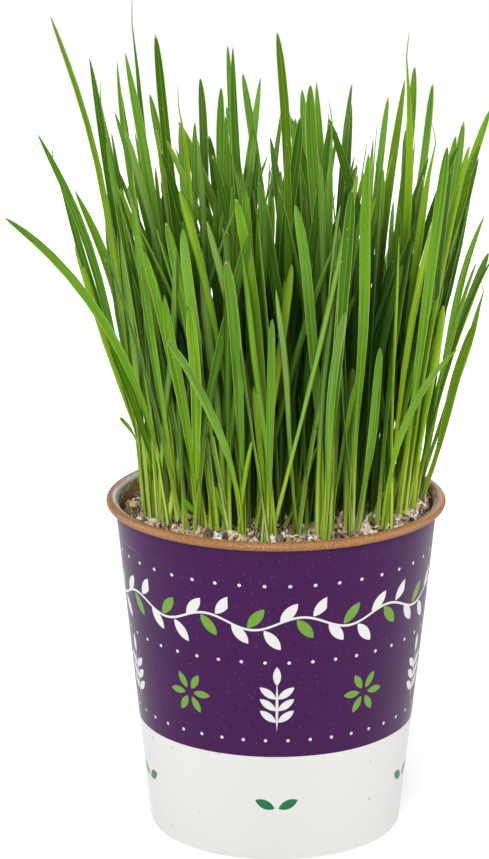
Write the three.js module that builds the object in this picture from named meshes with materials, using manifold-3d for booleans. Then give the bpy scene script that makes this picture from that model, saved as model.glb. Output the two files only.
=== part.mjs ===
// Wheatgrass growing in a tapered paper pot with a rolled rim.
// Millimetres, +Z up. The origin is on the floor, under the pot's axis.
// The pot's wall and base, the growing medium, the grass with its root mat, and the coarse
// mineral dressing round the stems are separate solids that keep TOUCH_GAP between them.
import * as THREE from 'three';
import { mergeVertices } from 'three/addons/utils/BufferGeometryUtils.js';
import Module from 'manifold-3d';

const wasm = await Module();
wasm.setup();

// ---- driving dimensions ----
const TOUCH_GAP = 0.3;
const HOLE_GAP = 0.4; // between a clump's stem and its hole
const ROUND_SIDES = 48;

const POT_HEIGHT = 112.4;
const RIM_RADIUS = 56;
const BASE_RADIUS = 42;
const WALL_TOP_RADIUS = 53.1; // outer face of the wall, just under the rolled rim
const WALL_TOP_Z = 109.5;
const BOARD = 0.8;
const BEAD_HALF_WIDTH = 1.75;
const BEAD_HALF_HEIGHT = 1.45;
const BEAD_START_DEG = -125; // where the roll leaves the outer face
const BEAD_END_DEG = 200; // where it meets the inner face
const BEAD_STEPS = 9;
const HEM_HEIGHT = 8; // the wall's lower edge, folded in and up round the base's skirt
const BASE_UNDERSIDE_Z = 8.4;

const MAT_BOTTOM_Z = 92; // root mat
const MAT_TOP_Z = 101;
const BED_TOP_Z = 105.5; // dressing: a packed bed with chunks standing out of it

const STAND_CENTRE = [3.5, -1]; // the shoots stand a little to one side of the pot's axis
const STAND_RADIUS = 43;
const PATTERN_COUNT = 150;
const CLUMP_SPACING = 7; // between a clump of the pattern and any other
const SHARED_CLUMP = 5.2; // leading blades rooted closer than this share a clump
const FILL_PER_CLUMP = 4;
const CLUMP_RADIUS = 2.2;
const CLUMP_SIDES = 5;
const CLUMP_TOP_Z = 111;
const ROOT_Z = 107; // blades start here, sunk in their clump's stem
const ROOT_OFFSET = 0.9; // from the clump's middle, towards the blade's tip
const STEM_SUNK = 2; // depth of a clump's stem in the root mat
const BLADE_SEED = 20261;
const BLADE_THICKNESS = 0.8;
const FILL = {
  // a blade of the rest of the stand: lowest and highest value of each measure
  height: [48, 122],
  edgeLoss: 0.12, // share of the height lost at the stand's edge
  lean: [0.3, 0.5], // share of the root's distance from the stand's centre, at 100 mm of height
  spread: [7, 14], // away from the clump's other blades, at 100 mm of height
  arch: [0.1, 0.5],
  width: [2.7, 4],
  twist: [-0.9, 0.9],
};
const LEADING_FACING = [-0.6, 0.6];
const LEADING_TWIST = [-0.5, 0.5];
const KNEE = 0.62; // height of the bend's control point, as a share of the blade's height
const BLADE_RINGS = [
  // share of the length, share of the full width
  [0, 0.45],
  [0.3, 0.72],
  [0.6, 1],
  [0.9, 0.72],
];

const CHUNK_SEED = 907;
const CHUNK_STEP = 5.4; // the facets of the chunky relief are about this wide
const CHUNK_SHAKE = 1.3;
const CHUNK_HEIGHT = 4.4;

const GOLDEN_ANGLE = Math.PI * (3 - Math.sqrt(5));
const LCG_MULTIPLIER = 1664525;
const LCG_INCREMENT = 1013904223;
const LCG_MODULUS = 4294967296;

// The blades that give the stand its outline:
// root x, root y, tip x, tip y, tip z, arch, width
// arch 0 is a straight blade, and 1 leaves the root upright and leans over further up.
const LEADING_BLADES = [
  [-40, -12, -70, -30, 274, 0.35, 3.5],
  [-40, -22, -79, -109, 227, 0.75, 3.2],
  [-42, -5, -73, -55, 242, 0.35, 3.2],
  [-39, 10, -72, -20, 233, 0.05, 2.9],
  [-38, 24, -65, 0, 214, 0.2, 3.5],
  [-35, 5, -59, -15, 259, 0.05, 3.5],
  [-34, 29, -58, 20, 246, -0.15, 2.9],
  [-34, 20, -52, 25, 252, -0.2, 3.4],
  [-30, -15, -48, -10, 260, 0.45, 3.7],
  [-35, 8, -47, 10, 275, 0.3, 2.9],
  [-27, 5, -39, 10, 263, 0.55, 3.5],
  [-28, 30, -42, 45, 238, 0.65, 3.2],
  [-21, -10, -32, -20, 251, 0.9, 2.7],
  [-21, 15, -25, 35, 245, 0.45, 3.5],
  [-15, -5, -18, 15, 245, 0.15, 3.7],
  [-11, 20, -16, 40, 255, 0.4, 3.2],
  [-10, 0, -14, -25, 264, 0.5, 3.7],
  [2, 25, -11, 45, 245, 0.7, 3.4],
  [-16, 13, -5, 50, 243, 0.9, 3.8],
  [-14, -10, -6, 0, 228, 0.8, 3.7],
  [7, 4, -2, 20, 228, 0.9, 4],
  [8, 8, 0, 0, 265, 0.95, 3.4],
  [4, 20, 3, 40, 212, 0.6, 3.5],
  [2, -20, 7, -25, 242, 0.9, 4],
  [10, 30, 9, 55, 238, 0.6, 3.4],
  [12, -14, 10, -30, 253, 0.8, 4.2],
  [15, 10, 13, 20, 246, 0.6, 3.7],
  [9, -27, 16, -30, 241, 0.65, 4],
  [16, -30, 16, -45, 251, 0, 2.7],
  [23, 25, 22, 45, 215, 0.6, 3.5],
  [24, 20, 25, 50, 236, 0.2, 3.7],
  [24, -34, 27, -60, 237, 0.35, 3.8],
  [28, 0, 36, 10, 243, 0.9, 3.2],
  [30, 10, 42, 25, 246, 0.4, 3.5],
  [40, -5, 41, -5, 266, -0.8, 2.9],
  [37, 20, 46, 40, 248, 0.3, 3.4],
  [36, 27, 53, 55, 240, 0.1, 3.4],
  [39, -10, 49, -35, 242, 0.55, 2.9],
  [39, -23, 51, -55, 238, 0, 3.5],
  [43, 10, 58, 10, 230, 0.5, 3.5],
  [43, 15, 63, 45, 229, 0.05, 3.5],
  [42, 17, 77, 111, 222, 0.55, 3.5],
  [46, -4, 67, 0, 206, 0.45, 3.7],
  [46, 4, 73, 55, 182, 0.45, 3.4],
  [46, 2, 69, 20, 180, -0.2, 2.9],
  [45, -6, 64, -10, 173, 0, 3.5],
  [34, -31, 54, -75, 180, 0.85, 3.7],
  [-27, -36, -29, -62, 214, 0.8, 4],
  [-31, -33, -35, -55, 192, 0, 3.7],
  [-23, -39, -27, -62, 190, -0.2, 3.8],
  [-12, -43, -16, -75, 207, 0.9, 4.2],
  [-7, -42, -13, -60, 223, 0.9, 3.8],
  [-3, -44, -2, -66, 187, 0, 4],
  [7, -36, -6, -40, 224, 0.9, 3.7],
  [14, -41, 5, -60, 221, 0.9, 3.8],
  [25, -38, 31, -66, 178, -0.2, 3.8],
  [17, -39, 22, -62, 226, 0, 4.2],
  [-9, -35, -10, -48, 223, 0.8, 4],
  [-34, -28, -45, -50, 221, 0.1, 3.7],
  [-16, -40, -34, -94, 188, 0.7, 3.4],
  [10, -40, 19, -96, 196, 0.6, 3.5],
  [-24, 34, -33, 92, 204, 0.6, 3.4],
  [6, 40, 12, 98, 196, 0.7, 3.5],
  [26, 34, 44, 84, 188, 0.5, 3.2],
];

// ---- shared helpers ----
function seededRandom(seed) {
  let state = seed;
  return () => {
    state = (state * LCG_MULTIPLIER + LCG_INCREMENT) % LCG_MODULUS;
    return state / LCG_MODULUS;
  };
}

function between(random, low, high) {
  return low + (high - low) * random();
}

// Geometry with only merged positions and no collapsed triangles.
function bare(geometry) {
  const positions = new THREE.BufferGeometry();
  positions.setAttribute('position', geometry.getAttribute('position'));
  if (geometry.index) positions.setIndex(geometry.index);
  const merged = mergeVertices(positions, 1e-4);
  const kept = [];
  const index = merged.index.array;
  for (let i = 0; i < index.length; i += 3) {
    const [a, b, c] = [index[i], index[i + 1], index[i + 2]];
    if (a !== b && b !== c && c !== a) kept.push(a, b, c);
  }
  merged.setIndex(kept);
  return merged;
}

function toSolid(geometry) {
  const merged = bare(geometry);
  return new wasm.Manifold(
    new wasm.Mesh({
      numProp: 3,
      vertProperties: Float32Array.from(merged.getAttribute('position').array),
      triVerts: Uint32Array.from(merged.index.array),
    }),
  );
}

function toGeometry(solid) {
  const mesh = solid.getMesh();
  const geometry = new THREE.BufferGeometry();
  geometry.setAttribute('position', new THREE.BufferAttribute(mesh.vertProperties, 3));
  geometry.setIndex(new THREE.BufferAttribute(mesh.triVerts, 1));
  geometry.computeVertexNormals();
  return geometry;
}

// The largest outer body: loose scraps are dropped and sealed hollows filled.
function largestBody(solid) {
  const bodies = solid.decompose();
  return bodies.reduce((best, body) => (body.volume() > best.volume() ? body : best));
}

// A profile of [radius, height] points turned about the pot's axis.
function turned(profile) {
  const points = profile.map(([radius, height]) => new THREE.Vector2(radius, height));
  points.push(points[0].clone());
  const geometry = bare(new THREE.LatheGeometry(points, ROUND_SIDES));
  geometry.rotateX(Math.PI / 2);
  return geometry;
}

// ---- pot ----
function outerRadius(z) {
  return BASE_RADIUS + ((WALL_TOP_RADIUS - BASE_RADIUS) * z) / WALL_TOP_Z;
}

function innerRadius(z) {
  return outerRadius(z) - BOARD;
}

function rolledRim() {
  const centreRadius = RIM_RADIUS - BEAD_HALF_WIDTH;
  const centreZ = POT_HEIGHT - BEAD_HALF_HEIGHT;
  const points = [];
  for (let step = 0; step <= BEAD_STEPS; step += 1) {
    const share = step / BEAD_STEPS;
    const angle = THREE.MathUtils.degToRad(THREE.MathUtils.lerp(BEAD_START_DEG, BEAD_END_DEG, share));
    const radius = centreRadius + BEAD_HALF_WIDTH * Math.cos(angle);
    points.push([radius, centreZ + BEAD_HALF_HEIGHT * Math.sin(angle)]);
  }
  return points;
}

function cupWall() {
  const slot = 2 * TOUCH_GAP + BOARD;
  const foldOuter = (z) => innerRadius(z) - slot;
  const foldInner = (z) => foldOuter(z) - BOARD;
  return turned([
    [outerRadius(0), 0],
    ...rolledRim(),
    [innerRadius(WALL_TOP_Z), WALL_TOP_Z],
    [innerRadius(BOARD), BOARD],
    [foldOuter(BOARD), BOARD],
    [foldOuter(HEM_HEIGHT), HEM_HEIGHT],
    [foldInner(HEM_HEIGHT), HEM_HEIGHT],
    [foldInner(0), 0],
  ]);
}

function cupBase() {
  const skirtOuter = (z) => innerRadius(z) - TOUCH_GAP;
  const skirtInner = (z) => skirtOuter(z) - BOARD;
  const skirtFoot = BOARD + TOUCH_GAP;
  const top = BASE_UNDERSIDE_Z + BOARD;
  return turned([
    [0, BASE_UNDERSIDE_Z],
    [skirtInner(BASE_UNDERSIDE_Z), BASE_UNDERSIDE_Z],
    [skirtInner(skirtFoot), skirtFoot],
    [skirtOuter(skirtFoot), skirtFoot],
    [skirtOuter(top), top],
    [0, top],
  ]);
}

// ---- filling ----
// What fills the pot between two heights, clear of the wall.
function filling(bottom, top) {
  const radius = (z) => innerRadius(z) - TOUCH_GAP;
  return turned([
    [0, bottom],
    [radius(bottom), bottom],
    [radius(top), top],
    [0, top],
  ]);
}

function growingMedium() {
  return filling(BASE_UNDERSIDE_Z + BOARD + TOUCH_GAP, MAT_BOTTOM_Z - TOUCH_GAP);
}

// ---- grass ----
function nearestPlace(places, x, y) {
  const gap = (place) => Math.hypot(place.x - x, place.y - y);
  return places.reduce((best, place) => (gap(place) < gap(best) ? place : best));
}

function isClear(places, x, y, spacing) {
  return places.every((place) => Math.hypot(place.x - x, place.y - y) >= spacing);
}

// Where clumps of shoots come up: first for the leading blades, then wherever there is room
// on a sunflower pattern.
function clumpPlaces() {
  const places = [];
  for (const [x, y] of LEADING_BLADES) {
    if (isClear(places, x, y, SHARED_CLUMP)) places.push({ x, y, leads: true });
  }
  for (let i = 0; i < PATTERN_COUNT; i += 1) {
    const radius = STAND_RADIUS * Math.sqrt((i + 0.5) / PATTERN_COUNT);
    const x = STAND_CENTRE[0] + radius * Math.cos(i * GOLDEN_ANGLE);
    const y = STAND_CENTRE[1] + radius * Math.sin(i * GOLDEN_ANGLE);
    if (isClear(places, x, y, CLUMP_SPACING)) places.push({ x, y, leads: false });
  }
  return places;
}

// The root's place in its clump, on the side that the blade leans to.
function rootTowards({ x, y }, tipX, tipY) {
  const reach = Math.hypot(tipX - x, tipY - y) + 1;
  return [x + (ROOT_OFFSET * (tipX - x)) / reach, y + (ROOT_OFFSET * (tipY - y)) / reach];
}

function leadingBlade(entry, places, random) {
  const [rootX, rootY, tipX, tipY, tipZ, arch, width] = entry;
  return {
    root: rootTowards(nearestPlace(places, rootX, rootY), tipX, tipY),
    tip: [tipX, tipY, tipZ],
    arch,
    width,
    facing: between(random, ...LEADING_FACING),
    twist: between(random, ...LEADING_TWIST),
  };
}

// A blade of the rest of the stand. All lean outward, more so near the edge and when tall, and
// those of one clump part from each other.
function fillBlade(place, parting, random) {
  const outX = place.x - STAND_CENTRE[0];
  const outY = place.y - STAND_CENTRE[1];
  const edge = Math.hypot(outX, outY) / STAND_RADIUS;
  const height = between(random, ...FILL.height) * (1 - FILL.edgeLoss * edge);
  const droop = (height / 100) ** 2;
  const lean = between(random, ...FILL.lean) * droop;
  const spread = between(random, ...FILL.spread) * droop;
  const tipX = place.x + outX * lean + spread * Math.cos(parting);
  const tipY = place.y + outY * lean + spread * Math.sin(parting);
  return {
    root: rootTowards(place, tipX, tipY),
    tip: [tipX, tipY, BED_TOP_Z + height],
    arch: between(random, ...FILL.arch),
    width: between(random, ...FILL.width),
    facing: between(random, 0, Math.PI),
    twist: between(random, ...FILL.twist),
  };
}

function allBlades(places, random) {
  const blades = LEADING_BLADES.map((entry) => leadingBlade(entry, places, random));
  for (const place of places) {
    const count = place.leads ? 1 : FILL_PER_CLUMP;
    const first = between(random, 0, 2 * Math.PI);
    for (let i = 0; i < count; i += 1) {
      blades.push(fillBlade(place, first + (2 * Math.PI * i) / count, random));
    }
  }
  return blades;
}

// A keeled blade: a three-sided section swept along a bend, ending in a point.
function bladeGeometry({ root, tip, arch, width, facing, twist }) {
  const foot = new THREE.Vector3(root[0], root[1], ROOT_Z);
  const end = new THREE.Vector3(...tip);
  const sideways = KNEE * (1 - arch);
  const bend = new THREE.Vector3(
    THREE.MathUtils.lerp(foot.x, end.x, sideways),
    THREE.MathUtils.lerp(foot.y, end.y, sideways),
    THREE.MathUtils.lerp(foot.z, end.z, KNEE),
  );
  const curve = new THREE.QuadraticBezierCurve3(foot, bend, end);
  const positions = [];
  for (const [share, widthShare] of BLADE_RINGS) {
    const middle = curve.getPoint(share);
    const along = curve.getTangent(share);
    const turn = facing + twist * share;
    const across = new THREE.Vector3(Math.cos(turn), Math.sin(turn), 0);
    across.addScaledVector(along, -across.dot(along)).normalize();
    const keel = new THREE.Vector3().crossVectors(along, across);
    const half = (width * widthShare) / 2;
    positions.push(...middle.clone().addScaledVector(across, -half).toArray());
    positions.push(...middle.clone().addScaledVector(across, half).toArray());
    positions.push(...middle.clone().addScaledVector(keel, BLADE_THICKNESS).toArray());
  }
  positions.push(...end.toArray());
  const geometry = new THREE.BufferGeometry();
  geometry.setAttribute('position', new THREE.Float32BufferAttribute(positions, 3));
  geometry.setIndex(bladeFaces(BLADE_RINGS.length));
  return geometry;
}

function bladeFaces(rings) {
  const faces = [0, 2, 1];
  for (let ring = 0; ring < rings - 1; ring += 1) {
    for (let side = 0; side < 3; side += 1) {
      const low = ring * 3 + side;
      const lowNext = ring * 3 + ((side + 1) % 3);
      faces.push(low, lowNext, lowNext + 3, low, lowNext + 3, low + 3);
    }
  }
  const last = (rings - 1) * 3;
  const point = rings * 3;
  for (let side = 0; side < 3; side += 1) faces.push(last + side, last + ((side + 1) % 3), point);
  return faces;
}

function clumpStem({ x, y }, radius, bottom, top) {
  const geometry = new THREE.CylinderGeometry(radius, radius, top - bottom, CLUMP_SIDES);
  geometry.rotateX(Math.PI / 2);
  geometry.translate(x, y, (bottom + top) / 2);
  return toSolid(geometry);
}

function grassStand(places, random) {
  const blades = allBlades(places, random).map((blade) => toSolid(bladeGeometry(blade)));
  const stemFoot = MAT_TOP_Z - STEM_SUNK;
  const stems = places.map((place) => clumpStem(place, CLUMP_RADIUS, stemFoot, CLUMP_TOP_Z));
  const mat = toSolid(filling(MAT_BOTTOM_Z, MAT_TOP_Z));
  return toGeometry(largestBody(wasm.Manifold.union([mat, ...stems, ...blades])));
}

// ---- dressing ----
// A slab wider than the pot, with chunky relief on its top.
function reliefSlab(bottom, random) {
  const cells = Math.ceil((2 * RIM_RADIUS) / CHUNK_STEP);
  const width = cells * CHUNK_STEP;
  const thickness = BED_TOP_Z - bottom;
  const geometry = bare(new THREE.BoxGeometry(width, width, thickness, cells, cells, 1));
  geometry.translate(0, 0, bottom + thickness / 2);
  const points = geometry.getAttribute('position');
  for (let i = 0; i < points.count; i += 1) {
    if (points.getZ(i) > bottom + thickness / 2) {
      const x = points.getX(i) + between(random, -CHUNK_SHAKE, CHUNK_SHAKE);
      const y = points.getY(i) + between(random, -CHUNK_SHAKE, CHUNK_SHAKE);
      points.setXYZ(i, x, y, BED_TOP_Z + between(random, 0, CHUNK_HEIGHT));
    }
  }
  return toSolid(geometry);
}

function topDressing(clumps, random) {
  const bottom = MAT_TOP_Z + TOUCH_GAP;
  const space = toSolid(filling(bottom, CLUMP_TOP_Z));
  const holeRadius = CLUMP_RADIUS + HOLE_GAP;
  const holes = clumps.map((place) => clumpStem(place, holeRadius, MAT_TOP_Z, CLUMP_TOP_Z));
  const covered = reliefSlab(MAT_TOP_Z, random).intersect(space);
  return toGeometry(largestBody(covered.subtract(wasm.Manifold.union(holes))));
}

// ---- assembly ----
function finish(color, roughness) {
  return new THREE.MeshStandardMaterial({ color, roughness, metalness: 0, flatShading: true });
}

function piece(name, geometry, material) {
  const mesh = new THREE.Mesh(geometry, material);
  mesh.name = name;
  return mesh;
}

function wheatgrassPot() {
  const printedBoard = finish(0x43205a, 0.45);
  const plainBoard = finish(0xb48a62, 0.8);
  const compost = finish(0x4a3624, 0.95);
  const leaf = finish(0x4f8f2f, 0.5);
  const mineral = finish(0xb9a68c, 0.9);

  const clumps = clumpPlaces();
  const pot = new THREE.Group();
  pot.add(piece('cup_wall', cupWall(), printedBoard));
  pot.add(piece('cup_base', cupBase(), plainBoard));
  pot.add(piece('growing_medium', growingMedium(), compost));
  pot.add(piece('grass_stand', grassStand(clumps, seededRandom(BLADE_SEED)), leaf));
  pot.add(piece('top_dressing', topDressing(clumps, seededRandom(CHUNK_SEED)), mineral));
  return pot;
}

export default wheatgrassPot();
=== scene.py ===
"""Wheatgrass growing in a tapered paper pot with a rolled rim, dressed for the studio.

Sizes are in millimetres, as in the part's own source, and turn into metres where a mesh is made.
The origin is on the floor under the pot's axis, +Z is up and the printed front looks along -Y.
"""

import logging
import math
import random
from collections.abc import Callable, Sequence
from dataclasses import dataclass
from enum import Enum
from functools import cache
from typing import ClassVar

import bmesh
import bpy
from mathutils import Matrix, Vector


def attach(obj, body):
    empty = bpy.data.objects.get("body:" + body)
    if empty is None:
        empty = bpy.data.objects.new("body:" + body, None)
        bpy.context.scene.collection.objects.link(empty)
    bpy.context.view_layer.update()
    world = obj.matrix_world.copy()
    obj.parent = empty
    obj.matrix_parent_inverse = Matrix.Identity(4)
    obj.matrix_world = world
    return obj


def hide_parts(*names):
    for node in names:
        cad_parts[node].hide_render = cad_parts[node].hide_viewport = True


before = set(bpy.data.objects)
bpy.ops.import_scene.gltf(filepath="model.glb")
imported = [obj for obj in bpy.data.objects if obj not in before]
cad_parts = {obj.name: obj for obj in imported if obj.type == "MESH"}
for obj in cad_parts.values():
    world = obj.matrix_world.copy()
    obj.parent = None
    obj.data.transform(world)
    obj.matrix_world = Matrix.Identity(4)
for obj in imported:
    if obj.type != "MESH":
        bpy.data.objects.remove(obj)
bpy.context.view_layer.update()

log = logging.getLogger("wheatgrass_pot")

MM = 0.001
BODY = "root"
FULL_TURN = 2 * math.pi
POT_UV = "wall"
BED_SLOPE = (0.02, -0.03)  # how the dressing rises along x and y
EDGE_SOFTNESS = 0.07  # of a printed edge, in mm
SHEATH_WRAP = 0.86 * math.pi  # half of the angle that a blade's sheath closes round
SHEATH_RADIUS = 0.8  # share of the blade's half width

Colour = tuple[float, float, float]
Point = tuple[float, float, float]
Span = tuple[float, float]
Waves = tuple[tuple[float, ...], ...]
Material = bpy.types.Material
NodeTree = bpy.types.NodeTree
Piece = bpy.types.Object

WHITE: Colour = (1.0, 1.0, 1.0)


# ---- small helpers ----
def lerp(low: float, high: float, share: float) -> float:
    """The value a share of the way from low to high."""
    return low + (high - low) * share


def smooth_step(low: float, high: float, value: float) -> float:
    """0 below low, 1 above high, and an S-shaped rise between them."""
    share = min(1.0, max(0.0, (value - low) / (high - low)))
    return share * share * (3 - 2 * share)


def along_anchors(anchors: Sequence[Span], place: float) -> float:
    """Reads a value off a line drawn through anchors.

    Args:
        anchors: (place, value) pairs, in rising order of place.
        place: where the value is wanted.

    Returns:
        The value there, or the nearest anchor's beyond the ends.
    """
    for (low, low_value), (high, high_value) in zip(anchors, anchors[1:]):
        if place <= high:
            share = max(0.0, (place - low) / (high - low))
            return lerp(low_value, high_value, share)
    return anchors[-1][1]


def waves_at(waves: Waves, turn: float, share: float = 0.0) -> float:
    """How far waves that run round the pot swing out at one place.

    Args:
        waves: for each its size in mm, its count in a turn, its phase and the phase's change upwards.
        turn: the place's angle in radians.
        share: how far up the place is.

    Returns:
        Their sum in mm.
    """
    return sum(size * math.sin(count * turn + phase + change * share) for size, count, phase, change in waves)


def opaque(colour: Colour) -> tuple[float, float, float, float]:
    """The colour with an alpha of 1."""
    return (*colour, 1.0)


def shaded(colour: Colour, factor: float) -> Colour:
    """The colour made darker or lighter by a factor."""
    return tuple(factor * part for part in colour)


# ---- node trees ----
class SocketKind(Enum):
    """The kinds of socket that groups and trees here have."""

    NUMBER = "NodeSocketFloat"
    VECTOR = "NodeSocketVector"
    MATERIAL = "NodeSocketMaterial"
    GEOMETRY = "NodeSocketGeometry"
    WHOLE = "NodeSocketInt"


def operator(operation: str, swapped: bool = False) -> Callable[["Wire", "Source"], "Wire"]:
    """The method of a wire that makes a Math node of it and another value.

    Args:
        operation: of the node.
        swapped: whether the other value comes first.

    Returns:
        The method.
    """

    def method(wire: "Wire", other: "Source") -> "Wire":
        """The node's result."""
        values = (other, wire) if swapped else (wire, other)
        return wire.maker.math(operation, *values)

    return method


@dataclass(frozen=True)
class Wire:
    """A value inside a node tree. Plain arithmetic on it makes Math nodes."""

    maker: "TreeMaker"
    socket: bpy.types.NodeSocket

    __add__ = operator("ADD")
    __sub__ = operator("SUBTRACT")
    __rsub__ = operator("SUBTRACT", swapped=True)
    __mul__ = operator("MULTIPLY")
    __truediv__ = operator("DIVIDE")
    __rtruediv__ = operator("DIVIDE", swapped=True)
    __pow__ = operator("POWER")

    def __abs__(self) -> "Wire":
        """The size without its sign."""
        return self.maker.math("ABSOLUTE", self)


Source = Wire | float | tuple | str


@dataclass
class TreeMaker:
    """Short calls that make and join the nodes of one shader or geometry tree."""

    tree: NodeTree

    def node(self, kind: str, inputs: dict[str | int, Source], **settings: object) -> bpy.types.Node:
        """Makes a node, sets its own options and feeds its inputs.

        Args:
            kind: the node's type name.
            inputs: what goes into each input, by its name or number.
            **settings: properties of the node, by name.

        Returns:
            The new node.
        """
        made = self.tree.nodes.new(kind)
        for name, value in settings.items():
            setattr(made, name, value)
        for key, value in inputs.items():
            self.feed(made.inputs[key], value)
        return made

    def feed(self, target: bpy.types.NodeSocket, value: Source) -> None:
        """Joins a wire to an input, or sets the input to a constant."""
        if isinstance(value, Wire):
            self.tree.links.new(value.socket, target)
        else:
            target.default_value = value

    def call(
        self, kind: str, inputs: dict[str | int, Source], output: str | int = 0, **settings: object
    ) -> Wire:
        """Makes a node as above, and reads one of its outputs."""
        return Wire(self, self.node(kind, inputs, **settings).outputs[output])

    def math(self, operation: str, *values: Source, clamp: bool = False) -> Wire:
        """A Math node's result, kept between 0 and 1 where it is clamped."""
        return self.call("ShaderNodeMath", dict(enumerate(values)), operation=operation, use_clamp=clamp)

    def vector_math(self, operation: str, *values: Source) -> Wire:
        """A Vector Math node's result: a number for a length, a distance or a dot product."""
        output = "Value" if operation in {"DOT_PRODUCT", "LENGTH", "DISTANCE"} else "Vector"
        return self.call("ShaderNodeVectorMath", dict(enumerate(values)), output, operation=operation)

    def scaled(self, vector: Source, factor: Source) -> Wire:
        """The vector times a number."""
        return self.call("ShaderNodeVectorMath", {0: vector, "Scale": factor}, "Vector", operation="SCALE")

    def combine(self, x: Source = 0.0, y: Source = 0.0, z: Source = 0.0) -> Wire:
        """A vector from three numbers."""
        return self.call("ShaderNodeCombineXYZ", {0: x, 1: y, 2: z})

    def separate(self, vector: Source) -> tuple[Wire, ...]:
        """The three numbers of a vector."""
        outputs = self.node("ShaderNodeSeparateXYZ", {0: vector}).outputs
        return tuple(Wire(self, output) for output in outputs)

    def ranged(
        self, value: Source, low: Source, high: Source, to_low: Source = 0.0, to_high: Source = 1.0
    ) -> Wire:
        """Carries a number from low..high over to to_low..to_high, smoothly and without overshoot."""
        inputs = {0: value, 1: low, 2: high, 3: to_low, 4: to_high}
        return self.call("ShaderNodeMapRange", inputs, interpolation_type="SMOOTHSTEP")

    def noise(self, place: Source, scale: Source, detail: float = 2.0, roughness: float = 0.5) -> Wire:
        """A noise value about 0.5, with scale swells to a unit and detail finer layers."""
        inputs = {"Vector": place, "Scale": scale, "Detail": detail, "Roughness": roughness}
        return self.call("ShaderNodeTexNoise", inputs, "Fac")

    def add_sockets(self, inputs: dict[str, SocketKind], outputs: dict[str, SocketKind]) -> dict[str, Wire]:
        """Gives the tree its inputs and outputs.

        Args:
            inputs: the inputs' names and kinds.
            outputs: the outputs' names and kinds.

        Returns:
            What comes in, by name.
        """
        for sockets, side in ((inputs, "INPUT"), (outputs, "OUTPUT")):
            for name, kind in sockets.items():
                self.tree.interface.new_socket(name=name, in_out=side, socket_type=kind.value)
        source = self.node("NodeGroupInput", {})
        return {name: Wire(self, source.outputs[name]) for name in inputs}


class ShaderMaker(TreeMaker):
    """Calls that only a shader's tree needs."""

    def mix(self, factor: Source, low: Source, high: Source) -> Wire:
        """Mixes two colours. The factor is the second one's share."""
        low, high = (opaque(value) if isinstance(value, tuple) else value for value in (low, high))
        return self.call("ShaderNodeMix", {0: factor, 6: low, 7: high}, 2, data_type="RGBA")

    def below(self, value: Source, limit: float = 0.0) -> Wire:
        """The mask of a printed shape: 1 where a value in mm is below a limit, with a crisp edge."""
        return self.ranged(value, limit - EDGE_SOFTNESS, limit + EDGE_SOFTNESS, 1.0, 0.0)

    def seen_by_camera(self) -> Wire:
        """1 for what the camera sees itself, and 0 in every reflection and shadow."""
        return self.call("ShaderNodeLightPath", {}, "Is Camera Ray")

    def place_group(self, group: NodeTree, **inputs: Source) -> Wire:
        """Places a shared effect in this tree, fed by name, and reads its output."""
        return self.call("ShaderNodeGroup", inputs, node_tree=group)


# ---- shared shader effects, each made once ----
class EffectMaker(ShaderMaker):
    """Makes a shared effect: a node group that turns vectors and numbers into one number."""

    def __init__(self, name: str, vectors: Sequence[str], numbers: Sequence[str], output: str) -> None:
        """Starts the group.

        Args:
            name: the group's name.
            vectors: the names of its inputs that are vectors.
            numbers: the names of its inputs that are numbers.
            output: the name of what it puts out.
        """
        super().__init__(bpy.data.node_groups.new(name, "ShaderNodeTree"))
        kinds = dict.fromkeys(vectors, SocketKind.VECTOR) | dict.fromkeys(numbers, SocketKind.NUMBER)
        self.given = self.add_sockets(kinds, {output: SocketKind.NUMBER})

    def finish(self, value: Wire) -> NodeTree:
        """Gives the value out, and returns the finished group."""
        self.node("NodeGroupOutput", {0: value})
        return self.tree


@cache
def speckle_group() -> NodeTree:
    """Small separate specks, as of fibre, dust or mineral.

    Returns:
        The group: Place in metres, Size in mm, and Share, from 0 for none to 1 for all.
    """
    maker = EffectMaker("speckle", ["Place"], ["Size", "Share"], "Mask")
    inputs = {"Vector": maker.given["Place"], "Scale": 1 / MM / maker.given["Size"]}
    cells = maker.node("ShaderNodeTexVoronoi", inputs)
    chance, *_ = maker.separate(Wire(maker, cells.outputs["Color"]))
    chosen = maker.math("LESS_THAN", chance, maker.given["Share"])
    near = maker.ranged(Wire(maker, cells.outputs["Distance"]), 0.2, 0.42, 1.0, 0.0)
    return maker.finish(chosen * near)


@cache
def mottle_group() -> NodeTree:
    """Soft cloudy unevenness about 0.5.

    Returns:
        The group: Place in metres, Size in mm, and Contrast.
    """
    maker = EffectMaker("mottle", ["Place"], ["Size", "Contrast"], "Value")
    cloud = maker.noise(maker.given["Place"], 1 / MM / maker.given["Size"], detail=4.0, roughness=0.6)
    spread = (cloud - 0.5) * maker.given["Contrast"]
    return maker.finish(maker.math("ADD", spread, 0.5, clamp=True))


@cache
def leaf_mark_group() -> NodeTree:
    """A printed leaf: the shape between two equal arcs.

    Returns:
        The group: Place and Centre in mm, Turn in radians, and Length and Width in mm.
    """
    maker = EffectMaker("leaf_mark", ["Place", "Centre"], ["Turn", "Length", "Width"], "Mask")
    given = maker.given
    offset = maker.vector_math("SUBTRACT", given["Place"], given["Centre"])
    inputs = {"Vector": offset, "Angle": given["Turn"] * -1.0}
    lengthwise, crosswise, _ = maker.separate(
        maker.call("ShaderNodeVectorRotate", inputs, rotation_type="Z_AXIS")
    )
    half_length, half_width = given["Length"] * 0.5, given["Width"] * 0.5
    radius = (half_length**2.0 + half_width**2.0) / given["Width"]
    raised = abs(crosswise) + (radius - half_width)
    outside = maker.vector_math("LENGTH", maker.combine(lengthwise, raised)) - radius
    return maker.finish(maker.below(outside))


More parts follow.
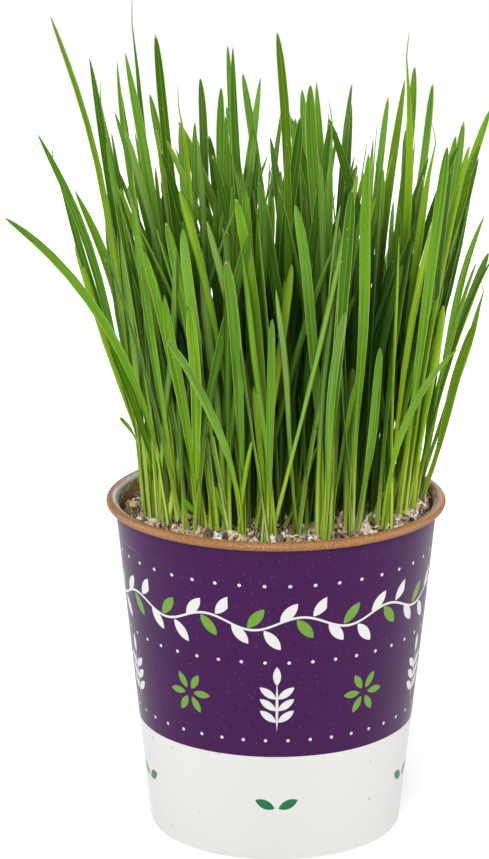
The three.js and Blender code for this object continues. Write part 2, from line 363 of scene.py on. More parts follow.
@cache
def dot_mark_group() -> NodeTree:
    """A printed dot.

    Returns:
        The group: Place and Centre in mm, and Radius in mm.
    """
    maker = EffectMaker("dot_mark", ["Place", "Centre"], ["Radius"], "Mask")
    reach = maker.vector_math("DISTANCE", maker.given["Place"], maker.given["Centre"])
    outside = reach - maker.given["Radius"]
    return maker.finish(maker.below(outside))


class FinishMaker(ShaderMaker):
    """Makes a material, with the shared effects at hand."""

    def __init__(self, name: str) -> None:
        """Starts an empty material."""
        self.material = bpy.data.materials.new(name)
        self.material.use_nodes = True
        self.material.node_tree.nodes.clear()
        super().__init__(self.material.node_tree)
        self.here = self.call("ShaderNodeTexCoord", {}, "Object")

    def mottled(self, size: float, contrast: float) -> Wire:
        """Soft unevenness about 0.5, of a size in mm."""
        return self.place_group(mottle_group(), Place=self.here, Size=size, Contrast=contrast)

    def specks(self, size: float, share: float) -> Wire:
        """Specks of a size in mm, on a share of the surface."""
        return self.place_group(speckle_group(), Place=self.here, Size=size, Share=share)

    def cloud(
        self, size: float, detail: float = 2.0, roughness: float = 0.5, place: Wire | None = None
    ) -> Wire:
        """A noise value about 0.5 with swells of a size in mm, here or at another place."""
        return self.noise(place or self.here, 1 / (size * MM), detail, roughness)

    def layered(self, base: Source, *layers: tuple[Source, Source]) -> Source:
        """Lays colours over a base. Each layer is its share of cover and its colour."""
        for cover, colour in layers:
            base = self.mix(cover, base, colour)
        return base

    def attribute(self, name: str) -> Wire:
        """A number that the piece's own mesh carries."""
        return self.call("ShaderNodeAttribute", {}, "Fac", attribute_name=name)

    def bump(self, height: Source, strength: float, distance: float) -> Wire:
        """A normal that raises the surface by a distance in mm where height, from 0 to 1, is high."""
        inputs = {"Strength": strength, "Distance": distance * MM, "Height": height}
        return self.call("ShaderNodeBump", inputs)

    def surface(self, **inputs: Source) -> Material:
        """Ends the material in a Principled shader, fed by name with underscores for spaces."""
        spaced = {name.replace("_", " "): value for name, value in inputs.items()}
        shader = self.call("ShaderNodeBsdfPrincipled", spaced)
        self.node("ShaderNodeOutputMaterial", {"Surface": shader})
        return self.material


# ---- finishes of the pot ----
@dataclass(frozen=True)
class LeafMark:
    """A printed leaf: its middle, its direction in degrees, and its length and width, in mm."""

    centre: Span
    turn: float
    size: Span


@dataclass(frozen=True)
class PrintLayout:
    """The generic print's rows of motifs. Places are in mm from a repeat's middle and the floor."""

    repeats: int = 10
    turn_length: float = 300.0  # round the wall at the height of the rows
    band_top: float = 37.2
    garland_height: float = 84.0
    garland_swing: float = 2.2
    garland_leaves: int = 6
    garland_leaf: Span = (8.4, 3.4)
    garland_turn: float = 52.0  # of a leaf, from level
    garland_shift: Span = (0.6, 0.5)  # of a leaf's foot, along the vine and off it
    vine_width: float = 0.8
    sprig: tuple[LeafMark, ...] = (
        LeafMark((0.0, 55.0), 90.0, (17.0, 0.9)),
        LeafMark((2.9, 51.6), 38.0, (6.6, 2.5)),
        LeafMark((2.9, 55.7), 38.0, (6.6, 2.5)),
        LeafMark((2.9, 59.8), 38.0, (6.6, 2.5)),
        LeafMark((0.0, 65.8), 90.0, (6.6, 2.5)),
    )
    rosette_height: float = 57.0
    petals: int = 6
    petal: LeafMark = LeafMark((4.6, 0.0), 0.0, (6.0, 2.5))
    dot_rows: tuple[float, ...] = (97.0, 70.5, 43.0)
    dots: int = 4
    dot_radius: float = 0.55
    band_leaf: LeafMark = LeafMark((4.1, 20.0), 24.0, (7.5, 3.2))

    @property
    def period(self) -> float:
        """The width of one repeat."""
        return self.turn_length / self.repeats

    def garland_mark(self, number: int) -> LeafMark:
        """A leaf of the garland, above the vine for an odd number and below it for an even one."""
        share = number / self.garland_leaves - 0.5
        turn = self.garland_turn if number % 2 else -self.garland_turn
        reach = self.garland_leaf[0] / 2 + self.garland_shift[1]
        x = share * self.period + self.garland_shift[0] + reach * math.cos(math.radians(turn))
        vine_height = self.garland_height + self.garland_swing * math.sin(FULL_TURN * share)
        return LeafMark((x, vine_height + reach * math.sin(math.radians(turn))), turn, self.garland_leaf)


@dataclass
class PrintMarks:
    """The masks of one repeat's motifs."""

    maker: FinishMaker
    layout: PrintLayout
    x: Wire
    height: Wire

    def leaf(self, mark: LeafMark, place: Wire) -> Wire:
        """One printed leaf, on a place in mm."""
        size = {"Length": mark.size[0], "Width": mark.size[1]}
        centre, turn = (*mark.centre, 0.0), math.radians(mark.turn)
        return self.maker.place_group(leaf_mark_group(), Place=place, Centre=centre, Turn=turn, **size)

    def joined(self, masks: Sequence[Wire]) -> Wire:
        """The masks laid over each other."""
        total, *rest = masks
        for mask in rest:
            total = self.maker.math("MAXIMUM", total, mask)
        return total

    def paired(self, leaves: Sequence[LeafMark]) -> Wire:
        """Leaves on both sides of the repeat's middle."""
        folded = self.maker.combine(abs(self.x), self.height)
        return self.joined([self.leaf(mark, folded) for mark in leaves])

    def garland(self) -> tuple[Wire, Wire]:
        """The wavy vine with leaves above and below it.

        Returns:
            The masks of its white and of its green marks.
        """
        layout = self.layout
        wave = self.maker.math("SINE", self.x * (FULL_TURN / layout.period)) * layout.garland_swing
        off_vine = abs(self.height - layout.garland_height - wave)
        white, green = [self.maker.below(off_vine, layout.vine_width / 2)], []
        place = self.maker.combine(self.x, self.height)
        for number in range(layout.garland_leaves):
            mask = self.leaf(layout.garland_mark(number), place)
            (green if number % 3 == 1 else white).append(mask)
        return self.joined(white), self.joined(green)

    def rosette(self) -> Wire:
        """A ring of equal leaves round a free middle."""
        maker = self.maker
        up = self.height - self.layout.rosette_height
        angle = maker.math("ARCTAN2", up, self.x)
        off_petal = maker.math("PINGPONG", angle, FULL_TURN / self.layout.petals / 2)
        reach = maker.vector_math("LENGTH", maker.combine(self.x, up))
        folded = maker.combine(reach * maker.math("COSINE", off_petal), reach * maker.math("SINE", off_petal))
        return self.leaf(self.layout.petal, folded)

    def dots(self) -> Wire:
        """The rows of dots between the other rows."""
        step = self.layout.period / self.layout.dots
        folded = self.maker.combine(self.maker.math("WRAP", self.x, step, 0.0), self.height)
        shared = {"Place": folded, "Radius": self.layout.dot_radius}
        rows = []
        for row in self.layout.dot_rows:
            rows.append(self.maker.place_group(dot_mark_group(), Centre=(step / 2, row, 0.0), **shared))
        return self.joined(rows)


@dataclass(frozen=True)
class PrintedBoard:
    """Satin coated board, printed in purple with white and green leaves over a bare white band."""

    wall_height: float
    layout: PrintLayout = PrintLayout()
    ink: Colour = (0.046, 0.002, 0.066)
    white: Colour = (0.755, 0.745, 0.73)
    green: Colour = (0.16, 0.34, 0.045)
    deep_green: Colour = (0.012, 0.17, 0.06)
    # fine pale specks, and the painted highlight on the dent's lip
    dust_and_highlight: Colour = (0.42, 0.36, 0.45)
    fleck: Colour = (0.36, 0.28, 0.2)
    crease: LeafMark = LeafMark((109.2, 100.0), -2.0, (17.0, 0.8))  # a dent, along the turn and up
    # a line along the dent's upper lip, for a painted highlight
    crease_highlight: LeafMark = LeafMark((109.2, 100.75), -2.0, (17.0, 0.8))
    roughness: Span = (0.35, 0.49)

    def build(self) -> Material:
        """The finished material, which reads the wall's own UV map."""
        maker = FinishMaker("printed_board")
        layout = self.layout
        u, v, _ = maker.separate(maker.call("ShaderNodeUVMap", {}, uv_map=POT_UV))
        turns, height = u * layout.repeats, v * self.wall_height
        x = (maker.math("FRACT", turns) - 0.5) * layout.period
        odd = maker.math("FLOORED_MODULO", maker.math("FLOOR", turns), 2.0)
        marks = PrintMarks(maker, layout, x, height)
        garland_white, garland_green = marks.garland()
        white_marks = marks.joined([garland_white, marks.paired(layout.sprig) * odd, marks.dots()])
        green_marks = marks.joined([garland_green, marks.rosette() * (1.0 - odd)])

        mottle = maker.mottled(9.0, 1.3)
        grain = maker.mottled(0.5, 2.6)
        unrolled = maker.combine(u * layout.turn_length, height)
        crease = marks.leaf(self.crease, unrolled)
        printed = maker.layered(
            maker.mix(grain * 0.6 + mottle * 0.15, shaded(self.ink, 0.8), shaded(self.ink, 1.45)),
            (maker.specks(0.5, 0.03) * 0.3, self.dust_and_highlight),
            # painted highlight on the dent's upper lip
            (marks.leaf(self.crease_highlight, unrolled) * 0.1, self.dust_and_highlight),
            # painted shade: the dent's line is darkened
            (crease * 0.8, shaded(self.ink, 0.3)),
            (white_marks, self.white),
            (green_marks, self.green),
        )
        bare = maker.layered(
            self.white,
            (mottle * 0.12, shaded(self.white, 0.9)),
            (maker.specks(1.7, 0.012) * 0.55, self.fleck),
            (marks.paired([layout.band_leaf]) * odd, self.deep_green),
        )
        return maker.surface(
            Base_Color=maker.mix(maker.below(height, layout.band_top), printed, bare),
            Roughness=grain * (self.roughness[1] - self.roughness[0]) + self.roughness[0],
            Normal=maker.bump(grain * 0.5 + mottle * 0.9 - crease * 1.5, 0.35, 0.12),
            Specular_IOR_Level=0.24,
            Sheen_Weight=0.36,
            Sheen_Roughness=0.3,
        )


class BoardSide(Enum):
    """Which side of the brown board a surface is, with its share of gloss."""

    OUTER = 0.08
    LINED = 0.4


@dataclass(frozen=True)
class KraftBoard:
    """Brown board with its fibres showing, bare or lined with a thin clear film. The bare roll gets pale film
    patches, a painted reflection.
    """

    side: BoardSide
    brown: Colour = (0.38, 0.145, 0.038)
    pale: Colour = (0.68, 0.36, 0.14)
    dark: Colour = (0.12, 0.042, 0.013)
    lined_tint: Colour = (0.4, 0.27, 0.17)
    # the film's pale colour: a painted reflection of the light on the glossy lining
    film: Colour = (0.66, 0.68, 0.7)
    film_reach: Span = (0.0535, 0.0541)  # metres of radius between which the film ends on the roll
    film_foot: Span = (0.1, 0.11)  # metres of height between which it begins
    film_whole: Span = (0.6, 0.68)  # what the patches' noise has to pass

    def film_cover(self, maker: FinishMaker) -> Wire:
        """The mask of the film's pale patches on the inner half of the roll: a painted reflection, more at
        the left.
        """
        x, y, z = maker.separate(maker.here)
        reach = maker.vector_math("LENGTH", maker.combine(x, y))
        inside = maker.ranged(reach, *self.film_reach, 1.0, 0.0) * maker.ranged(z, *self.film_foot)
        patches = maker.cloud(9.0, 5.0, 0.62)
        # painted reflection: the glare lies more at the left
        glare_at_left = maker.ranged(x, -0.054, -0.04, 1.0, 0.0) * 0.18
        more_at_wall = maker.ranged(reach, 0.0528, 0.0537, 0.16, 0.0)
        return inside * maker.ranged(patches + (glare_at_left + more_at_wall), *self.film_whole)

    def build(self) -> Material:
        """The finished material."""
        maker = FinishMaker(f"kraft_{self.side.name.lower()}")
        stretched = maker.vector_math("MULTIPLY", maker.here, (1.0, 1.0, 2.4))
        fibres = maker.cloud(0.5, 4.0, 0.7, place=stretched)
        lined = self.side is BoardSide.LINED
        return maker.surface(
            Base_Color=maker.layered(
                maker.mix(maker.ranged(fibres, 0.4, 0.6), self.dark, self.pale),
                (0.4, self.brown),
                (maker.mottled(5.0, 1.4) * 0.25, self.dark),
                (maker.specks(0.7, 0.24) * 0.6, self.dark),
                # painted reflection: pale patches of film on the bare roll
                (0.35, self.lined_tint) if lined else (self.film_cover(maker), self.film),
            ),
            Roughness=maker.ranged(fibres, 0.3, 0.7, 0.36, 0.52),
            Normal=maker.bump(fibres, 0.7, 0.14),
            Coat_Weight=self.side.value,
            Coat_Roughness=0.25,
            Specular_IOR_Level=0.36,
        )


@dataclass(frozen=True)
class FilmFinish:
    """The pot's lining film, glossy: pale and a little blue in patches of painted reflection, more at the
    left, and brown between.
    """

    # pale is a painted reflection on the clear film; the brown is the board seen through it
    pale: Colour = (0.6, 0.62, 0.66)
    board_below: Colour = (0.3, 0.15, 0.065)
    whole: Span = (0.64, 0.72)  # what the patches' noise has to pass

    def build(self) -> Material:
        """The finished material."""
        maker = FinishMaker("lining_film")
        patches = maker.cloud(6.0, 5.0, 0.65)
        # painted reflection: the glare lies more at the left
        glare_at_left = maker.ranged(maker.separate(maker.here)[0], -0.053, -0.04, 1.0, 0.0) * 0.16
        return maker.surface(
            Base_Color=maker.mix(maker.ranged(patches + glare_at_left, *self.whole), self.board_below, self.pale),
            Normal=maker.bump(maker.mottled(1.6, 1.5), 0.5, 0.15),
            Roughness=0.28,
            Specular_IOR_Level=0.6,
        )


# ---- finishes of the bed and the plant ----
@dataclass(frozen=True)
class CrumbFinish:
    """Dark crumbly matter: compost, or the bed under the chunks."""

    name: str
    dark: Colour = (0.022, 0.012, 0.006)
    light: Colour = (0.11, 0.062, 0.03)
    fibre: Colour = (0.3, 0.2, 0.11)

    def build(self) -> Material:
        """The finished material."""
        maker = FinishMaker(self.name)
        crumbs = maker.cloud(1.6, 6.0, 0.7)
        return maker.surface(
            Base_Color=maker.layered(
                maker.mix(maker.ranged(crumbs, 0.3, 0.72), self.dark, self.light),
                (maker.specks(1.3, 0.2) * 0.6, self.fibre),
            ),
            Normal=maker.bump(crumbs, 0.8, 0.9),
            Roughness=0.92,
            Specular_IOR_Level=0.3,
        )


@dataclass(frozen=True)
class RootFinish:
    """Felted pale roots, seen end to end in the mat."""

    pale: Colour = (0.58, 0.47, 0.31)
    dark: Colour = (0.12, 0.075, 0.04)

    def build(self) -> Material:
        """The finished material."""
        maker = FinishMaker("root_felt")
        warp = maker.cloud(4.0, 3.0)
        bent = maker.vector_math("ADD", maker.here, maker.scaled(maker.combine(warp, warp, warp), 0.006))
        threads = maker.cloud(1.1, 4.0, place=maker.vector_math("MULTIPLY", bent, (1.0, 1.0, 5.0)))
        strands = maker.ranged(threads, 0.44, 0.58)
        colour = maker.mix(strands, self.dark, self.pale)
        return maker.surface(Base_Color=colour, Normal=maker.bump(strands, 0.7, 0.4), Roughness=0.8)


@dataclass(frozen=True)
class ChunkFinish:
    """A kind of mineral chunk: its colours, how porous it is, and whether it splits in layers."""

    name: str
    light: Colour
    dark: Colour
    stain: Colour
    darkness: float = 0.75  # how much of it is dark: 0.3 for a little, 0.9 for half
    layers: float = 0.0  # dark seams from the chunk's foot to its top
    bed_darkening: Colour = (0.03, 0.018, 0.01)
    bed_darkening_range: Span = (0.105, 0.1084)  # metres on the pot's axis: fully darker below, not at all above

    def seams(self, maker: FinishMaker) -> Wire:
        """The mask of the dark seams between the layers."""
        swung = maker.attribute("layer") + maker.cloud(2.0) * 0.22
        return maker.ranged(maker.math("PINGPONG", swung * self.layers, 0.5), 0.1, 0.3, 1.0, 0.0)

    def build(self) -> Material:
        """The finished material, which reads the chunks' own tint and layer attributes."""
        maker = FinishMaker(self.name)
        mottle = maker.mottled(1.5, 4.6)
        pores = maker.specks(0.7, 0.45)
        above_bed = maker.vector_math("DOT_PRODUCT", maker.here, (-BED_SLOPE[0], -BED_SLOPE[1], 1.0))
        colour = maker.layered(
            maker.mix(maker.ranged(mottle, 0.05, self.darkness), self.dark, self.light),
            (maker.ranged(maker.attribute("tint"), 0.35, 1.0, 0.0, 0.85), self.stain),
            (pores * 0.75, self.dark),
            # darker towards the bed
            (maker.ranged(above_bed, *self.bed_darkening_range, 0.85, 0.0), self.bed_darkening),
        )
        relief = mottle - pores * 0.6
        if self.layers:
            seams = self.seams(maker)
            colour = maker.mix(seams * 0.85, colour, shaded(self.dark, 0.3))
            relief = relief - seams
        normal = maker.bump(relief, 0.6, 0.35)
        return maker.surface(Base_Color=colour, Normal=normal, Roughness=0.78, Specular_IOR_Level=0.35)


@dataclass(frozen=True)
class LeafFinish:
    """Living grass: a fresh face and a waxy one, parallel veins, a light sheath and pale tips."""

    name: str
    fresh: Colour = (0.18, 0.445, 0.012)
    waxy: Colour = (0.32, 0.54, 0.105)
    sunny: Colour = (0.44, 0.7, 0.018)
    deep: Colour = (0.013, 0.08, 0.0)
    sheath: Colour = (0.46, 0.64, 0.026)
    # pale edges and leaf specks; on the edges partly a painted highlight
    edge_highlight_and_specks: Colour = (0.62, 0.76, 0.2)
    # the stem's pale base, whose streaks also paint a gloss highlight
    pale_foot_and_gloss: Colour = (0.78, 0.84, 0.42)
    dry: Colour = (0.62, 0.5, 0.2)
    painted_shade: Colour = (0.008, 0.048, 0.0)  # painted shade deep inside the stand
    crown: Span = (0.198, 0.246)  # the heights in metres between which the blades grow darker
    veins: float = 9.0
    roughness: Span = (0.32, 0.46)

    VALUES: ClassVar[tuple[str, ...]] = ("across", "skin", "along", "tint", "gloom", "dryness", "depth")

    def face(self, maker: FinishMaker, blade: dict[str, Wire], mottle: Wire) -> Wire:
        """The blade's face: fresh or waxy, in the stand's shade or not, and darker at the crown.

        Args:
            maker: the material's maker.
            blade: what the blade's mesh carries, by name.
            mottle: the finish's soft unevenness.

        Returns:
            Its colour.
        """
        wax = maker.ranged(blade["skin"], -0.3, 0.3, 0.35, 1.0)
        wax = wax * maker.ranged(blade["tint"], 0.15, 0.75, 0.15, 1.0)
        return maker.layered(
            maker.mix(maker.ranged(blade["tint"], 0.0, 0.45), self.sunny, self.fresh),
            (wax, self.waxy),
            (maker.ranged(blade["gloom"], 0.0, 1.0, 0.0, 0.8), self.deep),
            (mottle * 0.12, self.deep),
            (maker.ranged(maker.separate(maker.here)[2], *self.crown, 0.0, 0.34), self.deep),
        )

    def foot(
        self, maker: FinishMaker, blade: dict[str, Wire], streak: Wire
    ) -> tuple[tuple[Source, Colour], ...]:
        """The light sheath, and whitish streaks low on its foot: partly the stem's pale base, partly a
        painted gloss highlight.

        Args:
            maker: the material's maker.
            blade: what the blade's mesh carries, by name.
            streak: the fibres' noise.

        Returns:
            The two layers.
        """
        sheathed = maker.ranged(blade["along"] + streak * 0.14, 0.08, 0.45, 1.0, 0.0)
        paling = maker.ranged(maker.math("PINGPONG", blade["tint"] * 7.0, 1.0), 0.2, 0.8, 0.42, 0.88)
        lowest = maker.ranged(blade["along"] + streak * 0.1, 0.04, 0.26, 1.0, 0.0)
        # painted gloss highlight, laid on the stem's pale base
        streaks = lowest * maker.ranged(streak, 0.5, 0.6, 0.0, 0.8)
        return (sheathed * paling, self.sheath), (streaks, self.pale_foot_and_gloss)

    def dry_tip(self, maker: FinishMaker, blade: dict[str, Wire]) -> Wire:
        """The mask of the frayed dry tip, longer on a drier blade."""
        start = (0.999 - blade["dryness"] * 0.018) - maker.cloud(3.0, 3.0) * 0.006
        return maker.ranged(blade["along"], start, start + 0.006)

    def build(self) -> Material:
        """The finished material, which reads the blades' own attributes."""
        maker = FinishMaker(self.name)
        blade = {name: maker.attribute(name) for name in self.VALUES}
        across = blade["across"]
        mottle = maker.mottled(14.0, 1.8)
        streak = maker.noise(maker.combine(across * 3.2, blade["along"] * 2.5, blade["tint"] * 60.0), 1.0)
        vein = maker.ranged(maker.math("PINGPONG", across * self.veins, 0.5), 0.1, 0.42)
        midrib = maker.ranged(abs(across), 0.03, 0.16, 1.0, 0.0)
        colour = maker.layered(
            self.face(maker, blade, mottle),
            (maker.ranged(streak, 0.42, 0.68, 0.0, 0.45), self.deep),
            (vein * 0.2, self.deep),
            (midrib * 0.18, self.sunny),
            # pale edges: partly the blade's own margin, partly a painted highlight
            (maker.ranged(abs(across), 0.84, 0.98) * 0.6, self.edge_highlight_and_specks),
            *self.foot(maker, blade, streak),
            (self.dry_tip(maker, blade) * 0.75, self.dry),
            (maker.specks(0.8, 0.012) * 0.4, self.edge_highlight_and_specks),
            # painted shade: blades darken deep inside the stand
            (blade["depth"] * 0.9, self.painted_shade),
        )
        return maker.surface(
            Base_Color=colour,
            Roughness=maker.ranged(mottle, 0.2, 0.8, *self.roughness),
            Normal=maker.bump(1.0 - (vein * 0.6 + midrib), 0.3, 0.12),
            Specular_IOR_Level=0.15,
            Subsurface_Weight=0.1,
            Subsurface_Scale=0.0008,
            Subsurface_Radius=(0.5, 1.0, 0.05),
        )


@dataclass(frozen=True)
class FloorFinish:
    """A plain pale studio sweep that fades to white away from the plant."""

    pale: Colour = (0.7, 0.7, 0.7)
    glow: Span = (0.32, 0.8)  # under the plant and far from it
    glow_reach: Span = (0.04, 0.6)  # in metres from the plant

    def build(self) -> Material:
        """The finished material, whose glow only the camera sees."""
        maker = FinishMaker("studio_floor")
        glow = maker.ranged(maker.vector_math("LENGTH", maker.here), *self.glow_reach, *self.glow)
        return maker.surface(
            Base_Color=maker.mix(maker.noise(maker.here, 3.0), shaded(self.pale, 0.985), self.pale),
            Emission_Color=opaque(WHITE),
            Emission_Strength=glow * maker.seen_by_camera(),
            Roughness=0.9,
            Specular_IOR_Level=0.2,
        )


# ---- meshes ----
def new_piece(name: str, mesh: bpy.types.Mesh) -> Piece:
    """An object for a mesh, at the origin."""
    made = bpy.data.objects.new(name, mesh)
    bpy.context.scene.collection.objects.link(made)
    return made


def ride(piece: Piece, slot: str, replaced: str | None = None) -> None:
    """Hands a finished piece over to the frame.

    Args:
        piece: the piece, with its final mesh.
        slot: the record's material slot that its finish stands for, which only goes into the log.
        replaced: the CAD node that it stands for, if any.
    """
    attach(piece, BODY)
    if replaced:
        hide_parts(replaced)
    faces = len(piece.data.polygons)
    log.info("%s: %d faces, slot %s, replaces %s", piece.name, faces, slot, replaced)


def point_mesh(name: str, points: Sequence[Vector], edges: Sequence[tuple[int, int]]) -> Piece:
    """A piece of loose points, or of lines between them."""
    mesh = bpy.data.meshes.new(name)
    mesh.from_pydata(points, edges, [])
    return new_piece(name, mesh)


def carry(piece: Piece, name: str, values: Sequence[float], vectors: bool = False) -> None:
    """Gives a piece's points an attribute: a number each, or a vector's three numbers."""
    kind, key = ("FLOAT_VECTOR", "vector") if vectors else ("FLOAT", "value")
    piece.data.attributes.new(name, kind, "POINT").data.foreach_set(key, values)


@dataclass
class ProfilePoint:
    """A point of a turned profile: radius and height in mm, and the material of the face after it."""

    radius: float
    height: float
    material: int = 0


def even_angles(count: int, start: float = 0.0) -> list[float]:
    """Evenly spaced angles over one turn, in degrees."""
    return [start + 360 * step / count for step in range(count)]


@dataclass
class TurnedShape:
    """A closed profile turned about the pot's axis, with a UV map of turns and height."""

    name: str
    profile: list[ProfilePoint]
    angles: list[float]  # degrees, rising, over one turn
    uv_height: float
    swell: Callable[[float, float, float], float] | None = None  # mm added to a radius
    lift: Callable[[float, float, float], float] | None = None  # mm added to a height
    sharp_from: float = 42.0  # degrees between two faces

    def ring_point(self, point: ProfilePoint, angle: float) -> Vector:
        """Where, in metres, a point of the profile lies at an angle in degrees."""
        radius = point.radius
        if self.swell and radius > 0:
            radius += self.swell(radius, point.height, angle)
        height = point.height + (self.lift(radius, point.height, angle) if self.lift else 0.0)
        turn = math.radians(angle)
        return Vector((radius * math.cos(turn), radius * math.sin(turn), height)) * MM

    def ring(self, work: bmesh.types.BMesh, point: ProfilePoint) -> list[bmesh.types.BMVert]:
        """The vertices of one profile point: a ring, or one vertex on the axis."""
        angles = self.angles if point.radius > 0 else self.angles[:1]
        return [work.verts.new(self.ring_point(point, angle)) for angle in angles]

    def add_face(self, work: bmesh.types.BMesh, rings: Sequence[list], number: int, column: int) -> None:
        """Makes one face, with three corners where it meets the axis.

        Args:
            work: the mesh in the making.
            rings: the vertices of each profile point.
            number: of the profile point that the face starts from.
            column: of the angle that it starts from.
        """
        following = (number + 1) % len(rings)
        after = (column + 1) % len(self.angles)
        corners = {}
        for at, here, step in (
            (number, column, column),
            (number, after, column + 1),
            (following, after, column + 1),
            (following, column, column),
        ):
            corners.setdefault(rings[at][here % len(rings[at])], (at, step))
        face = work.faces.new(list(corners))
        face.smooth = True
        face.material_index = self.profile[number].material
        ends = [*self.angles, self.angles[0] + 360]
        for loop, (at, step) in zip(face.loops, corners.values()):
            share = (ends[step] - self.angles[0]) / 360
            loop[work.loops.layers.uv[POT_UV]].uv = (share, self.profile[at].height / self.uv_height)

    def build(self, *materials: Material) -> Piece:
        """Makes the piece.

        Args:
            *materials: its materials, in the order of the profile's numbers.

        Returns:
            The piece, smooth but for its sharp folds.
        """
        work = bmesh.new()
        work.loops.layers.uv.new(POT_UV)
        rings = [self.ring(work, point) for point in self.profile]
        for number, low in enumerate(rings):
            if len(low) > 1 or len(rings[(number + 1) % len(rings)]) > 1:
                for column in range(len(self.angles)):
                    self.add_face(work, rings, number, column)
        bmesh.ops.recalc_face_normals(work, faces=work.faces)
        mesh = bpy.data.meshes.new(self.name)
        work.to_mesh(mesh)
        work.free()
        mesh.set_sharp_from_angle(angle=math.radians(self.sharp_from))
        for material in materials:
            mesh.materials.append(material)
        return new_piece(self.name, mesh)


# ---- pot ----
@dataclass
class PaperPot:
    """The wall with its rolled rim and folded hem, the raised base and the film at the lip.

    Sizes are in mm and angles in degrees.
    """

    rim_radius: float = 56.0
    base_radius: float = 42.0
    wall_top_radius: float = 53.1
    wall_top: float = 109.5
    height: float = 112.4
    board: float = 0.8
    bead_half_width: float = 1.75
    bead_half_height: float = 1.45
    bead_turn: Span = (-125.0, 200.0)  # where the roll starts and ends
    bead_steps: int = 36
    bead_grooves: Span = (73.6, 19.4)  # where the roll is creased
    groove_half_angle: float = 4.5
    groove_depth: float = 0.1
    hem_height: float = 8.0
    base_underside: float = 8.4
    base_bevel: Span = (1.2, 0.5)  # of its lower and its upper edge
    base_bulge: Span = (0.15, 0.1)  # of its lower and its upper face
    touch_gap: float = 0.3
    wall_rows: int = 30
    columns: int = 240
    seam_angle: float = 72.0  # the overlap of the sheet, at the back
    seam_width: float = 14.0  # an angle
    seam_edge: float = 0.12  # an angle
    seam_rise: float = 0.34
    sheet_waves: Waves = ((0.16, 2, 0.7, 0), (0.07, 5, 0, 3.1), (0.05, 9, 0, -6.0))
    sheet_hold: float = 0.45  # share of the waves that is left at the foot and the rim
    film_foot: float = 108.4  # the lining film's visible edge
    film_head: float = 110.9
    film_gap: Span = (0.06, 0.2)  # between the wall and the film's outer and inner face
    film_waves: Waves = (
        (0.8, 3, 0.4, 0), (0.5, 7, 1.9, 0), (0.25, 31, 0, 0), (0.18, 53, 0.8, 0),
    )

    def outer(self, height: float) -> float:
        """The radius of the wall's outer face at a height."""
        return self.base_radius + (self.wall_top_radius - self.base_radius) * height / self.wall_top

    def inner(self, height: float) -> float:
        """The radius of the wall's inner face at a height."""
        return self.outer(height) - self.board

    def free(self, height: float) -> float:
        """The radius that what stands in the pot may have at a height."""
        return self.inner(height) - self.touch_gap

    def sheet_swell(self, radius: float, height: float, angle: float) -> float:
        """How far the hand-soft sheet stands off a true cone.

        Args:
            radius: of the true shape, in mm.
            height: in mm.
            angle: in degrees.

        Returns:
            The swell in mm, with the step of the overlap.
        """
        share = height / self.height
        hand = waves_at(self.sheet_waves, math.radians(angle), share)
        give = lerp(self.sheet_hold, 1.0, math.sin(math.pi * min(1.0, share)))
        past_seam = (angle - self.seam_angle) % 360
        step = self.seam_rise * (1 - smooth_step(self.seam_width * 0.86, self.seam_width, past_seam))
        on_outside = radius > self.outer(height) - self.board / 2
        return hand * give + (step if on_outside else 0.0)

    def bead(self) -> list[ProfilePoint]:
        """The rolled rim's part of the profile."""
        centre = self.rim_radius - self.bead_half_width
        middle = self.height - self.bead_half_height
        points = []
        for step in range(self.bead_steps + 1):
            degrees = lerp(*self.bead_turn, step / self.bead_steps)
            creased = any(abs(degrees - groove) < self.groove_half_angle for groove in self.bead_grooves)
            inset = self.groove_depth if creased else 0.0
            angle = math.radians(degrees)
            radius = centre + (self.bead_half_width - inset) * math.cos(angle)
            height = middle + (self.bead_half_height - inset) * math.sin(angle)
            points.append(ProfilePoint(radius, height, 1))
        return points

    def wall_profile(self) -> list[ProfilePoint]:
        """The whole wall's profile: outer face, rim, inner face and hem."""
        slot = 2 * self.touch_gap + self.board
        bead = self.bead()
        points = []
        for row in range(self.wall_rows):
            height = bead[0].height * row / self.wall_rows
            points.append(ProfilePoint(self.outer(height), height, 0))
        points += bead
        for row in range(self.wall_rows, -1, -1):
            height = lerp(self.board, self.wall_top, row / self.wall_rows)
            points.append(ProfilePoint(self.inner(height), height, 2))
        for height in (self.board, self.hem_height):
            points.append(ProfilePoint(self.inner(height) - slot, height, 2))
        for height in (self.hem_height, 0.0):
            points.append(ProfilePoint(self.inner(height) - slot - self.board, height, 1))
        return points

    def wall(self, *finishes: Material) -> Piece:
        """Makes the wall, with its columns close together at the overlap's edge.

        Args:
            *finishes: the printed, the outer brown and the lined brown board.

        Returns:
            The piece.
        """
        angles = even_angles(self.columns, self.seam_angle)
        angles.append(self.seam_angle + 360 - self.seam_edge)
        shape = TurnedShape("pot_wall", self.wall_profile(), angles, self.height, self.sheet_swell)
        return shape.build(*finishes)

    def base(self, finish: Material) -> Piece:
        """Makes the base: a disc with its edge turned down into the wall's fold."""
        skirt_foot = self.board + self.touch_gap
        under, top = self.base_underside, self.base_underside + self.board
        lower, upper = self.base_bevel

        def skirt(height: float) -> float:
            """The radius of the turned-down edge's inner face."""
            return self.free(height) - self.board

        outline = [
            (0.0, under),
            (0.5 * skirt(under), under + self.base_bulge[0]),
            (skirt(under) - lower, under),
            (skirt(under - lower), under - lower),
            (skirt(skirt_foot), skirt_foot),
            (self.free(skirt_foot), skirt_foot),
            (self.free(top), top - upper),
            (self.free(top) - upper, top),
            (0.5 * self.free(top), top + self.base_bulge[1]),
            (0.0, top),
        ]
        profile = [ProfilePoint(*place) for place in outline]
        return TurnedShape("pot_base", profile, even_angles(self.columns), self.height).build(finish)

